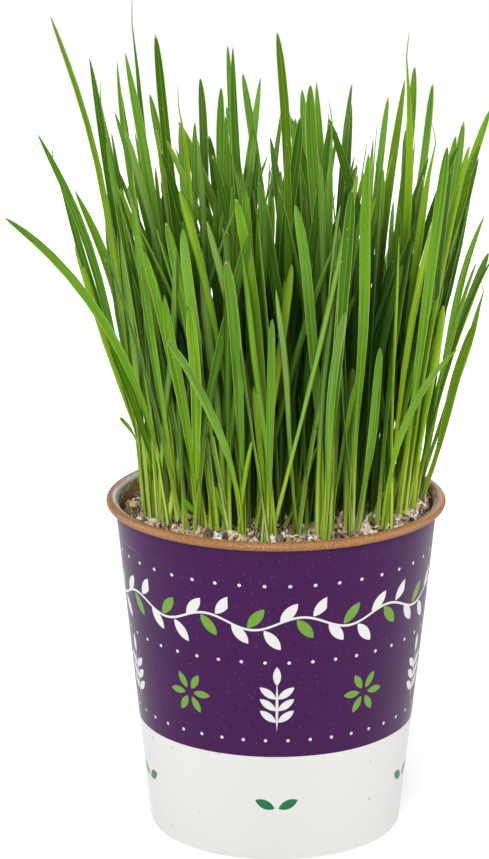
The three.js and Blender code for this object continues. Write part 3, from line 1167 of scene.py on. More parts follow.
    def film_rag(self, radius: float, height: float, angle: float) -> float:
        """How far in mm the lining film's lower edge is torn up or down at an angle in degrees."""
        return 0.0 if height > self.film_foot else waves_at(self.film_waves, math.radians(angle))

    def film(self, finish: Material) -> Piece:
        """Makes the edge of the pale lining film, which shows round the inner lip."""
        foot, head = self.film_foot, self.film_head
        near, far = self.film_gap
        profile = []
        for height, gap in ((foot, near), (head, near), (head, far), (foot, far)):
            profile.append(ProfilePoint(self.inner(height) - gap, height))
        angles = even_angles(self.columns)
        shape = TurnedShape("lining_film", profile, angles, self.height, lift=self.film_rag)
        return shape.build(finish)

    def build(self) -> None:
        """Makes and dresses the pot's pieces."""
        outer_kraft = KraftBoard(BoardSide.OUTER).build()
        lined_kraft = KraftBoard(BoardSide.LINED).build()
        printed = PrintedBoard(self.height).build()
        ride(self.wall(printed, outer_kraft, lined_kraft), "printed_board", "cup_wall")
        ride(self.base(lined_kraft), "kraft_board", "cup_base")
        ride(self.film(FilmFinish().build()), "kraft_board")


# ---- geometry trees ----
class GeometryMaker(TreeMaker):
    """Makes a Geometry Nodes tree that starts from a mesh, and puts it on one."""

    def __init__(self, name: str, inputs: dict[str, SocketKind]) -> None:
        """Starts the tree, with inputs of the kinds given by name."""
        super().__init__(bpy.data.node_groups.new(name, "GeometryNodeTree"))
        geometry = {"Geometry": SocketKind.GEOMETRY}
        self.given = self.add_sockets(geometry | inputs, geometry)

    def position(self) -> Wire:
        """Where each point is."""
        return self.call("GeometryNodeInputPosition", {})

    def named(self, name: str, kind: str = "FLOAT") -> Wire:
        """Reads what each point carries."""
        return self.call("GeometryNodeInputNamedAttribute", {"Name": name}, data_type=kind)

    def store(self, geometry: Wire, kind: str = "FLOAT", **values: Wire) -> Wire:
        """Makes each point carry values.

        Args:
            geometry: what has the points.
            kind: the values' data type.
            **values: what they carry, by name.

        Returns:
            The geometry with its values.
        """
        for name, value in values.items():
            inputs = {"Geometry": geometry, "Name": name, "Value": value}
            geometry = self.call("GeometryNodeStoreNamedAttribute", inputs, data_type=kind, domain="POINT")
        return geometry

    def placed(self, geometry: Wire, position: Wire) -> Wire:
        """Puts each point at a position."""
        return self.call("GeometryNodeSetPosition", {"Geometry": geometry, "Position": position})

    def moved(self, geometry: Wire, offset: Wire) -> Wire:
        """Moves each point by an offset."""
        return self.call("GeometryNodeSetPosition", {"Geometry": geometry, "Offset": offset})

    def finish(self, geometry: Wire, smooth: bool) -> None:
        """Ends the tree: shaded real geometry, in the material given as Finish."""
        inputs = {"Geometry": geometry, "Shade Smooth": smooth}
        real = self.real(self.call("GeometryNodeSetShadeSmooth", inputs))
        dressed = self.call("GeometryNodeSetMaterial", {"Geometry": real, "Material": self.given["Finish"]})
        self.node("NodeGroupOutput", {"Geometry": dressed})

    def real(self, geometry: Wire) -> Wire:
        """Turns instances into real geometry."""
        return self.call("GeometryNodeRealizeInstances", {"Geometry": geometry})

    def put_on(self, piece: Piece, **values: object) -> None:
        """Runs the tree on a piece and leaves it as a plain mesh.

        Args:
            piece: the piece that it starts from.
            **values: the inputs' values, by name.
        """
        modifier = piece.modifiers.new(self.tree.name, "NODES")
        modifier.node_group = self.tree
        for item in self.tree.interface.items_tree:
            if item.in_out == "INPUT" and item.name in values:
                modifier[item.identifier] = values[item.name]
        depsgraph = bpy.context.evaluated_depsgraph_get()
        mesh = bpy.data.meshes.new_from_object(piece.evaluated_get(depsgraph))
        piece.modifiers.clear()
        piece.data = mesh


class BladeMaker(GeometryMaker):
    """The tree that sweeps a blade along each path.

    A path's points carry turn, half_width, along, tint, gloom, dryness and depth. The section is
    a shallow gutter whose keel points back, and it closes to a rolled sheath towards the foot.
    """

    def __init__(self) -> None:
        """Makes the whole tree."""
        kinds = dict.fromkeys(("Keel", "Thickness", "Sheath"), SocketKind.NUMBER)
        super().__init__("grass_blades", kinds | {"Sides": SocketKind.WHOLE, "Finish": SocketKind.MATERIAL})
        self.half_thick = self.named("skin") * self.given["Thickness"]
        out = abs(self.named("across")) ** 1.5
        self.gutter = self.given["Keel"] * (1.0 - out)
        inputs = {"Curve": self.path(), "Profile Curve": self.section(), "Fill Caps": True}
        inputs["Scale"] = self.named("half_width")
        swept = self.call("GeometryNodeCurveToMesh", inputs)
        self.finish(self.moved(swept, self.sheath_offset()), smooth=True)

    def path(self) -> Wire:
        """The paths as curves, whose normals face as their turn says."""
        curve = self.call("GeometryNodeMeshToCurve", {"Mesh": self.given["Geometry"]})
        turn = self.named("turn")
        flat = self.combine(self.math("COSINE", turn), self.math("SINE", turn))
        tangent = self.call("GeometryNodeInputTangent", {})
        leaning = self.scaled(tangent, self.vector_math("DOT_PRODUCT", flat, tangent))
        sideways = self.vector_math("NORMALIZE", self.vector_math("SUBTRACT", flat, leaning))
        keelwards = self.vector_math("CROSS_PRODUCT", tangent, sideways)
        curve = self.store(curve, "FLOAT_VECTOR", sideways=sideways, keelwards=keelwards)
        inputs = {"Curve": curve, "Normal": self.named("sideways", "FLOAT_VECTOR")}
        return self.call("GeometryNodeSetCurveNormal", inputs, mode="FREE")

    def section(self) -> Wire:
        """The section's curve: a flat ring bent to a gutter."""
        inputs = {"Resolution": self.given["Sides"], "Radius": 1.0}
        ring = self.call("GeometryNodeCurvePrimitiveCircle", inputs, "Curve")
        across, skin, _ = self.separate(self.position())
        ring = self.store(ring, across=across, skin=skin)
        return self.placed(ring, self.combine(self.named("across"), self.gutter + self.half_thick))

    def sheath_offset(self) -> Wire:
        """How far each point moves from the gutter to the rolled sheath."""
        sheath, across = self.given["Sheath"], self.named("across")
        rolled = self.ranged(self.named("along"), sheath * 0.3, sheath, 1.0, 0.0)
        share = rolled * self.named("half_width")
        angle = across * SHEATH_WRAP
        radius = SHEATH_RADIUS - self.half_thick
        move_sideways = radius * self.math("SINE", angle) - across
        move_keelwards = radius * self.math("COSINE", angle) - self.gutter
        return self.vector_math(
            "ADD",
            self.scaled(self.named("sideways", "FLOAT_VECTOR"), move_sideways * share),
            self.scaled(self.named("keelwards", "FLOAT_VECTOR"), move_keelwards * share),
        )


# ---- grass ----
class SharedRandom:
    """The same plain number generator as in the part's source, so that the blades agree."""

    MULTIPLIER = 1664525
    INCREMENT = 1013904223
    MODULUS = 4294967296

    def __init__(self, seed: int) -> None:
        """Starts from a seed."""
        self.state = seed

    def between(self, low: float, high: float) -> float:
        """The next number, between low and high."""
        self.state = (self.state * self.MULTIPLIER + self.INCREMENT) % self.MODULUS
        return low + (high - low) * self.state / self.MODULUS


@dataclass
class Clump:
    """Where a clump of shoots comes up, and whether a leading blade does."""

    x: float
    y: float
    leads: bool


class Ending(Enum):
    """How a blade ends: in a long taper, in a blunt point or in a dried thread."""

    TAPERED = "tapered"
    BLUNT = "blunt"
    THREAD = "thread"


@dataclass
class Blade:
    """A blade: root and tip in mm, how late it bends, its width, and how it faces and twists."""

    root: Span
    tip: Point
    arch: float
    width: float
    facing: float
    twist: float
    foot: float = 107.0
    ending: Ending = Ending.BLUNT
    tint: float = 0.5
    gloom: float = 0.3
    dryness: float = 0.1

    KNEE: ClassVar[float] = 0.62

    def bend(self) -> Point:
        """The control point of the blade's curve."""
        sideways = self.KNEE * (1 - self.arch)
        return (
            lerp(self.root[0], self.tip[0], sideways),
            lerp(self.root[1], self.tip[1], sideways),
            lerp(self.foot, self.tip[2], self.KNEE),
        )

    def place(self, share: float) -> Vector:
        """The point a share of the way along the blade, in mm."""
        start = Vector((*self.root, self.foot))
        bend, end = Vector(self.bend()), Vector(self.tip)
        return start * (1 - share) ** 2 + bend * (2 * share * (1 - share)) + end * share**2


@dataclass(frozen=True)
class ShootKind:
    """A kind of thin shoot: how many come up at a clump, and its ranges of height, width and lean."""

    seed: int
    per_clump: int
    height: tuple[float, float, float]  # lowest, highest and commonest, in mm above the bed
    width: Span
    lean: Span
    stray: Span
    away: Span = (0.6, 4.0)  # from the clump's middle, in mm
    arch: Span = (-0.1, 0.6)
    twist: Span = (-2.2, 2.2)


@dataclass(frozen=True)
class Batch:
    """How one batch of blades is finished as a piece of its own.

    The seeds are those of the scatter, the colours and the sway. scatter is in mm, and steps are
    the shares of the length that have a point.
    """

    name: str
    steps: Sequence[float]
    sides: int
    seeds: tuple[int, int, int]
    dry_share: float
    scatter: float = 0.0


@dataclass
class Grass:
    """The whole stand: leading blades that give the outline, the rest, and the thin shoots.

    Sizes are in mm and angles in radians.
    """

    centre: Span = (3.5, -1.0)
    radius: float = 43.0
    pattern_count: int = 150
    clump_spacing: float = 7.0
    shared_clump: float = 5.2
    fill_per_clump: int = 4
    root_offset: float = 0.9
    bed_top: float = 105.5
    root_height: float = 107.0
    sunk: float = 4.6  # how far a blade's foot goes on below its root
    thread_width: float = 3.0  # leading blades narrower than this end in a thread
    slimness: float = 0.9  # the leaves' width as a share of the solid blades'
    flare: float = 0.15  # how far the thin shoots' tips may reach outside the roots, per mm of height
    blade_seed: int = 20261
    fill_height: Span = (48.0, 122.0)
    edge_loss: float = 0.12
    lean: Span = (0.3, 0.5)
    spread: Span = (7.0, 14.0)
    arch: Span = (0.1, 0.5)
    width: Span = (2.7, 4.0)
    twist: Span = (-0.9, 0.9)
    leading_facing: Span = (-0.6, 0.6)
    leading_twist: Span = (-0.5, 0.5)
    slender: ShootKind = ShootKind(4417, 3, (76.0, 145.0, 110.0), (2.2, 3.7), (0.15, 0.46), (2.0, 34.0))
    young: ShootKind = ShootKind(4418, 1, (16.0, 90.0, 40.0), (1.7, 3.0), (0.0, 0.4), (4.0, 26.0))
    tint: Span = (0.5, 0.3)  # mean and spread over the blades
    gloom: Span = (0.36, 0.42)
    tapered_share: float = 0.35  # of the blunt blades, which taper instead
    dry: Span = (0.35, 1.0)
    moist: Span = (0.0, 0.2)
    # the stand's shape, from which the blades' painted shade is worked out
    skirt_flare: float = 0.2  # how much wider the stand gets, per mm of height
    skirt_depth: Span = (0.02, 0.3)  # from its outside to what counts as deep inside
    open_top: Span = (172.0, 236.0)  # the heights between which no part counts as deep any more
    sway: float = 1.9  # in mm, on a blade of sway_height
    sway_height: float = 120.0
    sway_turn: float = 5.0  # radians from root to tip
    curl: Span = (0.6, 1.8)
    curl_start: float = 0.84  # share of the length
    curl_turn: float = 26.0  # radians, if it were as long as the blade
    mat: Span = (92.0, 101.0)  # the root mat's foot and top
    mat_gap: float = 0.3

    LEADING: ClassVar[list[tuple[float, ...]]] = [
        # root x, root y, tip x, tip y, tip z, arch, width
        (-40, -12, -70, -30, 274, 0.35, 3.5), (-40, -22, -79, -109, 227, 0.75, 3.2),
        (-42, -5, -73, -55, 242, 0.35, 3.2), (-39, 10, -72, -20, 233, 0.05, 2.9),
        (-38, 24, -65, 0, 214, 0.2, 3.5), (-35, 5, -59, -15, 259, 0.05, 3.5),
        (-34, 29, -58, 20, 246, -0.15, 2.9), (-34, 20, -52, 25, 252, -0.2, 3.4),
        (-30, -15, -48, -10, 260, 0.45, 3.7), (-35, 8, -47, 10, 275, 0.3, 2.9),
        (-27, 5, -39, 10, 263, 0.55, 3.5), (-28, 30, -42, 45, 238, 0.65, 3.2),
        (-21, -10, -32, -20, 251, 0.9, 2.7), (-21, 15, -25, 35, 245, 0.45, 3.5),
        (-15, -5, -18, 15, 245, 0.15, 3.7), (-11, 20, -16, 40, 255, 0.4, 3.2),
        (-10, 0, -14, -25, 264, 0.5, 3.7), (2, 25, -11, 45, 245, 0.7, 3.4),
        (-16, 13, -5, 50, 243, 0.9, 3.8), (-14, -10, -6, 0, 228, 0.8, 3.7),
        (7, 4, -2, 20, 228, 0.9, 4), (8, 8, 0, 0, 265, 0.95, 3.4),
        (4, 20, 3, 40, 212, 0.6, 3.5), (2, -20, 7, -25, 242, 0.9, 4),
        (10, 30, 9, 55, 238, 0.6, 3.4), (12, -14, 10, -30, 253, 0.8, 4.2),
        (15, 10, 13, 20, 246, 0.6, 3.7), (9, -27, 16, -30, 241, 0.65, 4),
        (16, -30, 16, -45, 251, 0, 2.7), (23, 25, 22, 45, 215, 0.6, 3.5),
        (24, 20, 25, 50, 236, 0.2, 3.7), (24, -34, 27, -60, 237, 0.35, 3.8),
        (28, 0, 36, 10, 243, 0.9, 3.2), (30, 10, 42, 25, 246, 0.4, 3.5),
        (40, -5, 41, -5, 266, -0.8, 2.9), (37, 20, 46, 40, 248, 0.3, 3.4),
        (36, 27, 53, 55, 240, 0.1, 3.4), (39, -10, 49, -35, 242, 0.55, 2.9),
        (39, -23, 51, -55, 238, 0, 3.5), (43, 10, 58, 10, 230, 0.5, 3.5),
        (43, 15, 63, 45, 229, 0.05, 3.5), (42, 17, 77, 111, 222, 0.55, 3.5),
        (46, -4, 67, 0, 206, 0.45, 3.7), (46, 4, 73, 55, 182, 0.45, 3.4),
        (46, 2, 69, 20, 180, -0.2, 2.9), (45, -6, 64, -10, 173, 0, 3.5),
        (34, -31, 54, -75, 180, 0.85, 3.7), (-27, -36, -29, -62, 214, 0.8, 4),
        (-31, -33, -35, -55, 192, 0, 3.7), (-23, -39, -27, -62, 190, -0.2, 3.8),
        (-12, -43, -16, -75, 207, 0.9, 4.2), (-7, -42, -13, -60, 223, 0.9, 3.8),
        (-3, -44, -2, -66, 187, 0, 4), (7, -36, -6, -40, 224, 0.9, 3.7),
        (14, -41, 5, -60, 221, 0.9, 3.8), (25, -38, 31, -66, 178, -0.2, 3.8),
        (17, -39, 22, -62, 226, 0, 4.2), (-9, -35, -10, -48, 223, 0.8, 4),
        (-34, -28, -45, -50, 221, 0.1, 3.7), (-16, -40, -34, -94, 188, 0.7, 3.4),
        (10, -40, 19, -96, 196, 0.6, 3.5), (-24, 34, -33, 92, 204, 0.6, 3.4),
        (6, 40, 12, 98, 196, 0.7, 3.5), (26, 34, 44, 84, 188, 0.5, 3.2),
    ]
    STALK: ClassVar[list[Span]] = [
        # share of the length, share of the full width
        (0, 0.74), (0.12, 0.67), (0.24, 0.62), (0.36, 0.7), (0.5, 0.92), (0.62, 1),
    ]
    ENDINGS: ClassVar[dict[Ending, list[Span]]] = {
        Ending.TAPERED: [(0.72, 0.98), (0.82, 0.88), (0.9, 0.68), (0.95, 0.46), (0.98, 0.26), (1, 0.06)],
        Ending.BLUNT: [(0.8, 1), (0.88, 0.95), (0.94, 0.78), (0.97, 0.56), (0.988, 0.36), (1, 0.12)],
        Ending.THREAD: [(0.72, 0.88), (0.82, 0.58), (0.89, 0.28), (0.93, 0.17), (0.97, 0.12), (1, 0.06)],
    }
    SIDE_LEAVES: ClassVar[list[tuple[Point, Point, float, float]]] = [
        # foot, tip, arch, width
        ((2.8, -38, 113.5), (9.8, -41, 126), 0.3, 2.6),
        ((-24.2, -33, 113), (-30.4, -37, 121.5), 0.2, 2.0),
        ((-45, -15, 134), (-50.6, -17, 143), 0.3, 1.4),
        ((-16, -38, 112), (-19.5, -42, 127), -0.2, 1.8),
        ((17, -37, 113), (14, -41, 131), 0.3, 1.7),
        ((30, -31, 113), (35, -34, 124), 0.1, 1.8),
        ((41, 12, 112), (49, 15, 124), 0.2, 2.0),
        ((-33, 24, 113), (-42, 28, 126), 0.3, 2.0),
        ((8, 38, 112), (11, 46, 125), 0.2, 2.2),
    ]
    FINE: ClassVar[list[float]] = [
        0, 0.035, 0.08, 0.14, 0.21, 0.3, 0.39, 0.48, 0.57, 0.66, 0.75, 0.83, 0.89, 0.935, 0.97, 0.99, 1,
    ]
    PLAIN: ClassVar[list[float]] = [0, 0.06, 0.16, 0.3, 0.45, 0.6, 0.75, 0.87, 0.95, 0.985, 1]
    BATCHES: ClassVar[list[Batch]] = [
        Batch("leading_blades", FINE, 12, (21, 11, 31), 0.1, scatter=1.4),
        Batch("inner_blades", PLAIN, 8, (22, 12, 32), 0.12, scatter=3.4),
        Batch("slender_blades", PLAIN, 6, (0, 13, 33), 0.1),
        Batch("young_shoots", PLAIN, 6, (0, 14, 34), 0.1),
    ]

    def clumps(self) -> list[Clump]:
        """Where the clumps of shoots come up, by the rule of the part's source."""
        places: list[Clump] = []

        def add(x: float, y: float, spacing: float, leads: bool) -> None:
            """Adds a clump that stands clear of the others."""
            if all(math.hypot(place.x - x, place.y - y) >= spacing for place in places):
                places.append(Clump(x, y, leads))

        for x, y, *_ in self.LEADING:
            add(x, y, self.shared_clump, True)
        golden = math.pi * (3 - math.sqrt(5))
        for number in range(self.pattern_count):
            reach = self.radius * math.sqrt((number + 0.5) / self.pattern_count)
            x = self.centre[0] + reach * math.cos(number * golden)
            y = self.centre[1] + reach * math.sin(number * golden)
            add(x, y, self.clump_spacing, False)
        return places

    def root_towards(self, place: Clump, tip_x: float, tip_y: float) -> Span:
        """The root's place in its clump, on the side that the blade leans to."""
        reach = math.hypot(tip_x - place.x, tip_y - place.y) + 1
        share = self.root_offset / reach
        return place.x + share * (tip_x - place.x), place.y + share * (tip_y - place.y)

    def kept_in(self, out_x: float, out_y: float, reach: float) -> Span:
        """A place by its offset from the stand's middle, drawn in to a reach at most."""
        inward = min(1.0, reach / math.hypot(out_x, out_y))
        return self.centre[0] + out_x * inward, self.centre[1] + out_y * inward

    def leading_blades(self, places: list[Clump], numbers: SharedRandom) -> list[Blade]:
        """The blades that give the stand its outline.

        Args:
            places: the clumps.
            numbers: the shared generator.

        Returns:
            The blades.
        """
        blades = []
        for root_x, root_y, *tip, arch, width in self.LEADING:
            nearest = min(places, key=lambda place: math.hypot(place.x - root_x, place.y - root_y))
            root = self.root_towards(nearest, *tip[:2])
            facing = numbers.between(*self.leading_facing)
            twist = numbers.between(*self.leading_twist)
            ending = Ending.THREAD if width < self.thread_width else Ending.BLUNT
            blades.append(Blade(root, tuple(tip), arch, width, facing, twist, self.root_height, ending))
        return blades

    def fill_blade(self, place: Clump, parting: float, numbers: SharedRandom) -> Blade:
        """A blade of the rest of the stand, leaning out and away from its clump's others.

        Args:
            place: its clump.
            parting: the direction it parts in.
            numbers: the shared generator.

        Returns:
            The blade.
        """
        out_x, out_y = place.x - self.centre[0], place.y - self.centre[1]
        edge = math.hypot(out_x, out_y) / self.radius
        height = numbers.between(*self.fill_height) * (1 - self.edge_loss * edge)
        droop = (height / 100) ** 2
        lean = numbers.between(*self.lean) * droop
        spread = numbers.between(*self.spread) * droop
        tip_x = place.x + out_x * lean + spread * math.cos(parting)
        tip_y = place.y + out_y * lean + spread * math.sin(parting)
        root = self.root_towards(place, tip_x, tip_y)
        arch = numbers.between(*self.arch)
        width = numbers.between(*self.width)
        facing = numbers.between(0.0, math.pi)
        twist = numbers.between(*self.twist)
        tip = (tip_x, tip_y, self.bed_top + height)
        return Blade(root, tip, arch, width, facing, twist, self.root_height)

    def fill_blades(self, places: list[Clump], numbers: SharedRandom) -> list[Blade]:
        """The rest of the stand: one blade beside a leading one, and several in any other clump."""
        blades = []
        for place in places:
            count = 1 if place.leads else self.fill_per_clump
            first = numbers.between(0.0, FULL_TURN)
            for number in range(count):
                blades.append(self.fill_blade(place, first + FULL_TURN * number / count, numbers))
        return blades

    def shoot(self, place: Clump, kind: ShootKind, numbers: random.Random) -> Blade:
        """A shoot that comes up beside a clump and stands among the blades.

        Args:
            place: the clump.
            kind: what the shoot is like.
            numbers: the generator.

        Returns:
            The shoot.
        """
        turn = numbers.uniform(0, FULL_TURN)
        away = numbers.uniform(*kind.away)
        x, y = place.x + away * math.cos(turn), place.y + away * math.sin(turn)
        height = numbers.triangular(*kind.height)
        droop = height / 100
        lean = numbers.uniform(*kind.lean) * droop
        stray = numbers.uniform(*kind.stray) * droop
        swing = numbers.uniform(0, FULL_TURN)
        out_x = (x - self.centre[0]) * (1 + lean) + stray * math.cos(swing)
        out_y = (y - self.centre[1]) * (1 + lean) + stray * math.sin(swing)
        tip = (*self.kept_in(out_x, out_y, self.radius + self.flare * height), self.bed_top + height)
        arch = numbers.uniform(*kind.arch)
        width = numbers.uniform(*kind.width)
        facing = numbers.uniform(0, math.pi)
        twist = numbers.uniform(*kind.twist)
        return Blade((x, y), tip, arch, width, facing, twist, self.root_height)

    def shoots(self, places: list[Clump], kind: ShootKind) -> list[Blade]:
        """All shoots of one kind, at every clump."""
        numbers = random.Random(kind.seed)
        return [self.shoot(place, kind, numbers) for place in places for _ in range(kind.per_clump)]

    def side_leaves(self) -> list[Blade]:
        """The small low leaves that stand off the stems."""
        leaves = []
        for foot, tip, arch, width in self.SIDE_LEAVES:
            leaves.append(Blade(foot[:2], tip, arch, width, facing=0.2, twist=0.3, foot=foot[2]))
        return leaves

    def scatter(self, blades: list[Blade], seed: int, reach: float) -> None:
        """Moves each blade's root a little, so that the stems come up all over the bed.

        A root that would then stand outside the stand's radius is drawn in to it.

        Args:
            blades: the blades.
            seed: of the draws.
            reach: how far a root moves at most before that, in mm.
        """
        numbers = random.Random(seed)
        for blade in blades:
            turn = numbers.uniform(0, FULL_TURN)
            away = reach * math.sqrt(numbers.random())
            out_x = blade.root[0] + away * math.cos(turn) - self.centre[0]
            out_y = blade.root[1] + away * math.sin(turn) - self.centre[1]
            blade.root = self.kept_in(out_x, out_y, self.radius)

    def colour(self, blades: list[Blade], seed: int, dry_share: float) -> None:
        """Gives each blade its own tint, gloom, dryness and ending.

        Args:
            blades: the blades.
            seed: of the draws.
            dry_share: the share of blades with a long dry tip.
        """
        numbers = random.Random(seed)
        for blade in blades:
            blade.tint = min(1.0, max(0.0, numbers.gauss(*self.tint)))
            blade.gloom = min(1.0, max(0.0, numbers.gauss(*self.gloom)))
            if blade.ending is Ending.BLUNT and numbers.random() < self.tapered_share:
                blade.ending = Ending.TAPERED
            is_dry = numbers.random() < dry_share
            blade.dryness = numbers.uniform(*(self.dry if is_dry else self.moist))

    def depth(self, place: Vector) -> float:
        """How deep in the stand a place in mm lies, from 0 outside and at the tips to 1: it sets the blades'
        painted shade.
        """
        reach = math.hypot(place.x - self.centre[0], place.y - self.centre[1])
        skirt = self.radius + self.skirt_flare * (place.z - self.root_height)
        covered = 1 - smooth_step(*self.open_top, place.z)
        return smooth_step(*self.skirt_depth, 1 - reach / skirt) * covered

    def swayed(self, blade: Blade, steps: Sequence[float], numbers: random.Random) -> list[Vector]:
        """The points of a blade's path, from its sunk foot up, with a slight sway.

        Args:
            blade: the blade.
            steps: the shares of the length that have a point.
            numbers: the generator.

        Returns:
            The points in mm, one more than the steps.
        """
        sway = numbers.uniform(-self.sway, self.sway) * (blade.tip[2] - blade.foot) / self.sway_height
        phase = numbers.uniform(0, FULL_TURN)
        threaded = blade.ending is Ending.THREAD
        curl = numbers.choice((-1, 1)) * numbers.uniform(*self.curl) if threaded else 0.0
        side = Vector((math.cos(blade.facing), math.sin(blade.facing), 0))
        root = blade.place(0.0)
        points = [root - (Vector(blade.bend()) - root).normalized() * self.sunk]
        for share in steps:
            wave = sway * math.sin(math.pi * share) * math.sin(self.sway_turn * share + phase)
            past = share - self.curl_start
            wave += curl * smooth_step(self.curl_start, 1.0, share) * math.sin(self.curl_turn * past)
            points.append(blade.place(share) + side * wave)
        return points

    def paths(self, batch: Batch, blades: list[Blade]) -> Piece:
        """The blades' paths, as lines whose points carry what the blade tree and the finish read.

        Args:
            batch: how the blades are finished.
            blades: the blades.

        Returns:
            The piece.
        """
        numbers = random.Random(batch.seeds[2])
        points: list[Vector] = []
        edges: list[tuple[int, int]] = []
        values: dict[str, list[float]] = {}
        for blade in blades:
            widths = self.STALK + self.ENDINGS[blade.ending]
            path = self.swayed(blade, batch.steps, numbers)
            first, last = len(points), len(points) + len(path) - 1
            edges += [(start, start + 1) for start in range(first, last)]
            for place, share in zip(path, (0.0, *batch.steps)):
                points.append(place * MM)
                half_width = blade.width * self.slimness / 2 * along_anchors(widths, share) * MM
                carried = {
                    "turn": blade.facing + blade.twist * share,
                    "half_width": half_width,
                    "along": share,
                    "tint": blade.tint,
                    "gloom": blade.gloom,
                    "dryness": blade.dryness,
                    # how deep the point lies in the stand, which the finish paints as shade
                    "depth": self.depth(place),
                }
                for name, value in carried.items():
                    values.setdefault(name, []).append(value)
        piece = point_mesh(batch.name, points, edges)
        for name, numbers_of_points in values.items():
            carry(piece, name, numbers_of_points)
        return piece

    def root_mat(self, finish: Material, pot: PaperPot) -> Piece:
        """The mat of roots that all the shoots grow from."""
        bottom, top = self.mat
        outline = [(pot.free(bottom) * ring / 8, bottom) for ring in range(8)]
        for row in range(5):
            height = lerp(bottom, top, row / 4)
            outline.append((pot.free(height) - self.mat_gap, height))
        outline += [(pot.free(top) * ring / 8, top) for ring in range(7, -1, -1)]
        profile = [ProfilePoint(*place) for place in outline]
        return TurnedShape("root_mat", profile, even_angles(96), pot.height).build(finish)

    def build(self, pot: PaperPot) -> list[Blade]:
        """Makes and dresses the grass.

        Args:
            pot: the pot that it stands in.

        Returns:
            The leading and inner blades, for what has to stay clear of them.
        """
        places = self.clumps()
        numbers = SharedRandom(self.blade_seed)
        leading, rest = self.leading_blades(places, numbers), self.fill_blades(places, numbers)
        young = self.shoots(places, self.young) + self.side_leaves()
        tree = BladeMaker()
        leaf = LeafFinish("leaf_blade").build()
        shoot = LeafFinish("leaf_shoot", fresh=(0.2, 0.46, 0.01), sunny=(0.4, 0.68, 0.012), veins=6.0)
        finishes = (leaf, leaf, leaf, shoot.build())
        batches = (leading, rest, self.shoots(places, self.slender), young)
        for batch, blades, finish in zip(self.BATCHES, batches, finishes):
            if batch.scatter:
                self.scatter(blades, batch.seeds[0], batch.scatter)
            self.colour(blades, batch.seeds[1], batch.dry_share)
            piece = self.paths(batch, blades)
            tree.put_on(piece, Keel=0.5, Thickness=0.09, Sheath=0.38, Sides=batch.sides, Finish=finish)
            ride(piece, "leaf", "grass_stand")
        ride(self.root_mat(RootFinish().build(), pot), "leaf", "grass_stand")
        return [*leading, *rest]


# ---- dressing ----
class ChunkForm(Enum):
    """How a chunk is shaped: a rugged lump, a stack of flakes or a small plain crumb.

    Each form has the block that it starts from: its size, as shares of the chunk's, and its points.
    """

    LUMP = ((0.92, 0.92, 0.92), (4, 4, 4))
    FLAKED = ((1.0, 0.82, 0.9), (3, 3, 5))
    CRUMB = ((0.92, 0.92, 0.92), (2, 2, 2))


def chunk_shape(maker: GeometryMaker, form: ChunkForm) -> Wire:
    """The plain shape that a chunk starts from, whose points carry their height in it as layer."""
    here = maker.position()
    size, counts = form.value
    inputs = {"Size": size} | dict(zip(("Vertices X", "Vertices Y", "Vertices Z"), counts))
    shape = maker.call("GeometryNodeMeshCube", inputs)
    if form is ChunkForm.LUMP:
        ball = maker.scaled(maker.vector_math("NORMALIZE", here), 0.3)
        shape = maker.placed(shape, maker.vector_math("ADD", maker.scaled(here, 0.45), ball))
    return maker.store(shape, layer=maker.separate(here)[2])


def chunk_tree(form: ChunkForm) -> GeometryMaker:
    """The tree that sets a chunk on each point.

    A point carries turn (three angles), stretch (three sizes) and tint. Each chunk is shaped by
    where it lies, so no two are alike.

    Args:
        form: how the chunks are shaped.

    Returns:
        The tree.
    """
    kinds = {"Ruggedness": SocketKind.NUMBER, "Grain": SocketKind.NUMBER, "Finish": SocketKind.MATERIAL}
    maker = GeometryMaker(f"{form.name.lower()}_chunks", kinds)
    here = maker.position()
    inputs = {
        "Points": maker.store(maker.given["Geometry"], "FLOAT_VECTOR", middle=here),
        "Instance": chunk_shape(maker, form),
        "Rotation": maker.call("FunctionNodeEulerToRotation", {0: maker.named("turn", "FLOAT_VECTOR")}),
        "Scale": maker.named("stretch", "FLOAT_VECTOR"),
    }
    real = maker.real(maker.call("GeometryNodeInstanceOnPoints", inputs))
    offset = maker.vector_math("SUBTRACT", here, maker.named("middle", "FLOAT_VECTOR"))
    coarse = maker.noise(here, 1 / MM / maker.given["Grain"], detail=1.0)
    growth = (coarse - 0.5) * maker.given["Ruggedness"]
    if form is ChunkForm.FLAKED:
        growth = growth - maker.math("PINGPONG", maker.named("layer") * 2.2, 0.5) * 0.16
    maker.finish(maker.moved(real, maker.scaled(offset, growth)), smooth=False)
    return maker


@dataclass
class ChunkKind:
    """One kind of chunk in the dressing."""

    name: str
    finish: ChunkFinish
    form: ChunkForm
    share: float
    sizes: Span
    flatness: Span
    ruggedness: float
    grain: float


@dataclass
class Chunk:
    """Where a chunk lies and how it is turned and stretched, in metres and radians."""

    place: Vector
    turn: tuple[float, ...]
    stretch: tuple[float, ...]
    tint: float


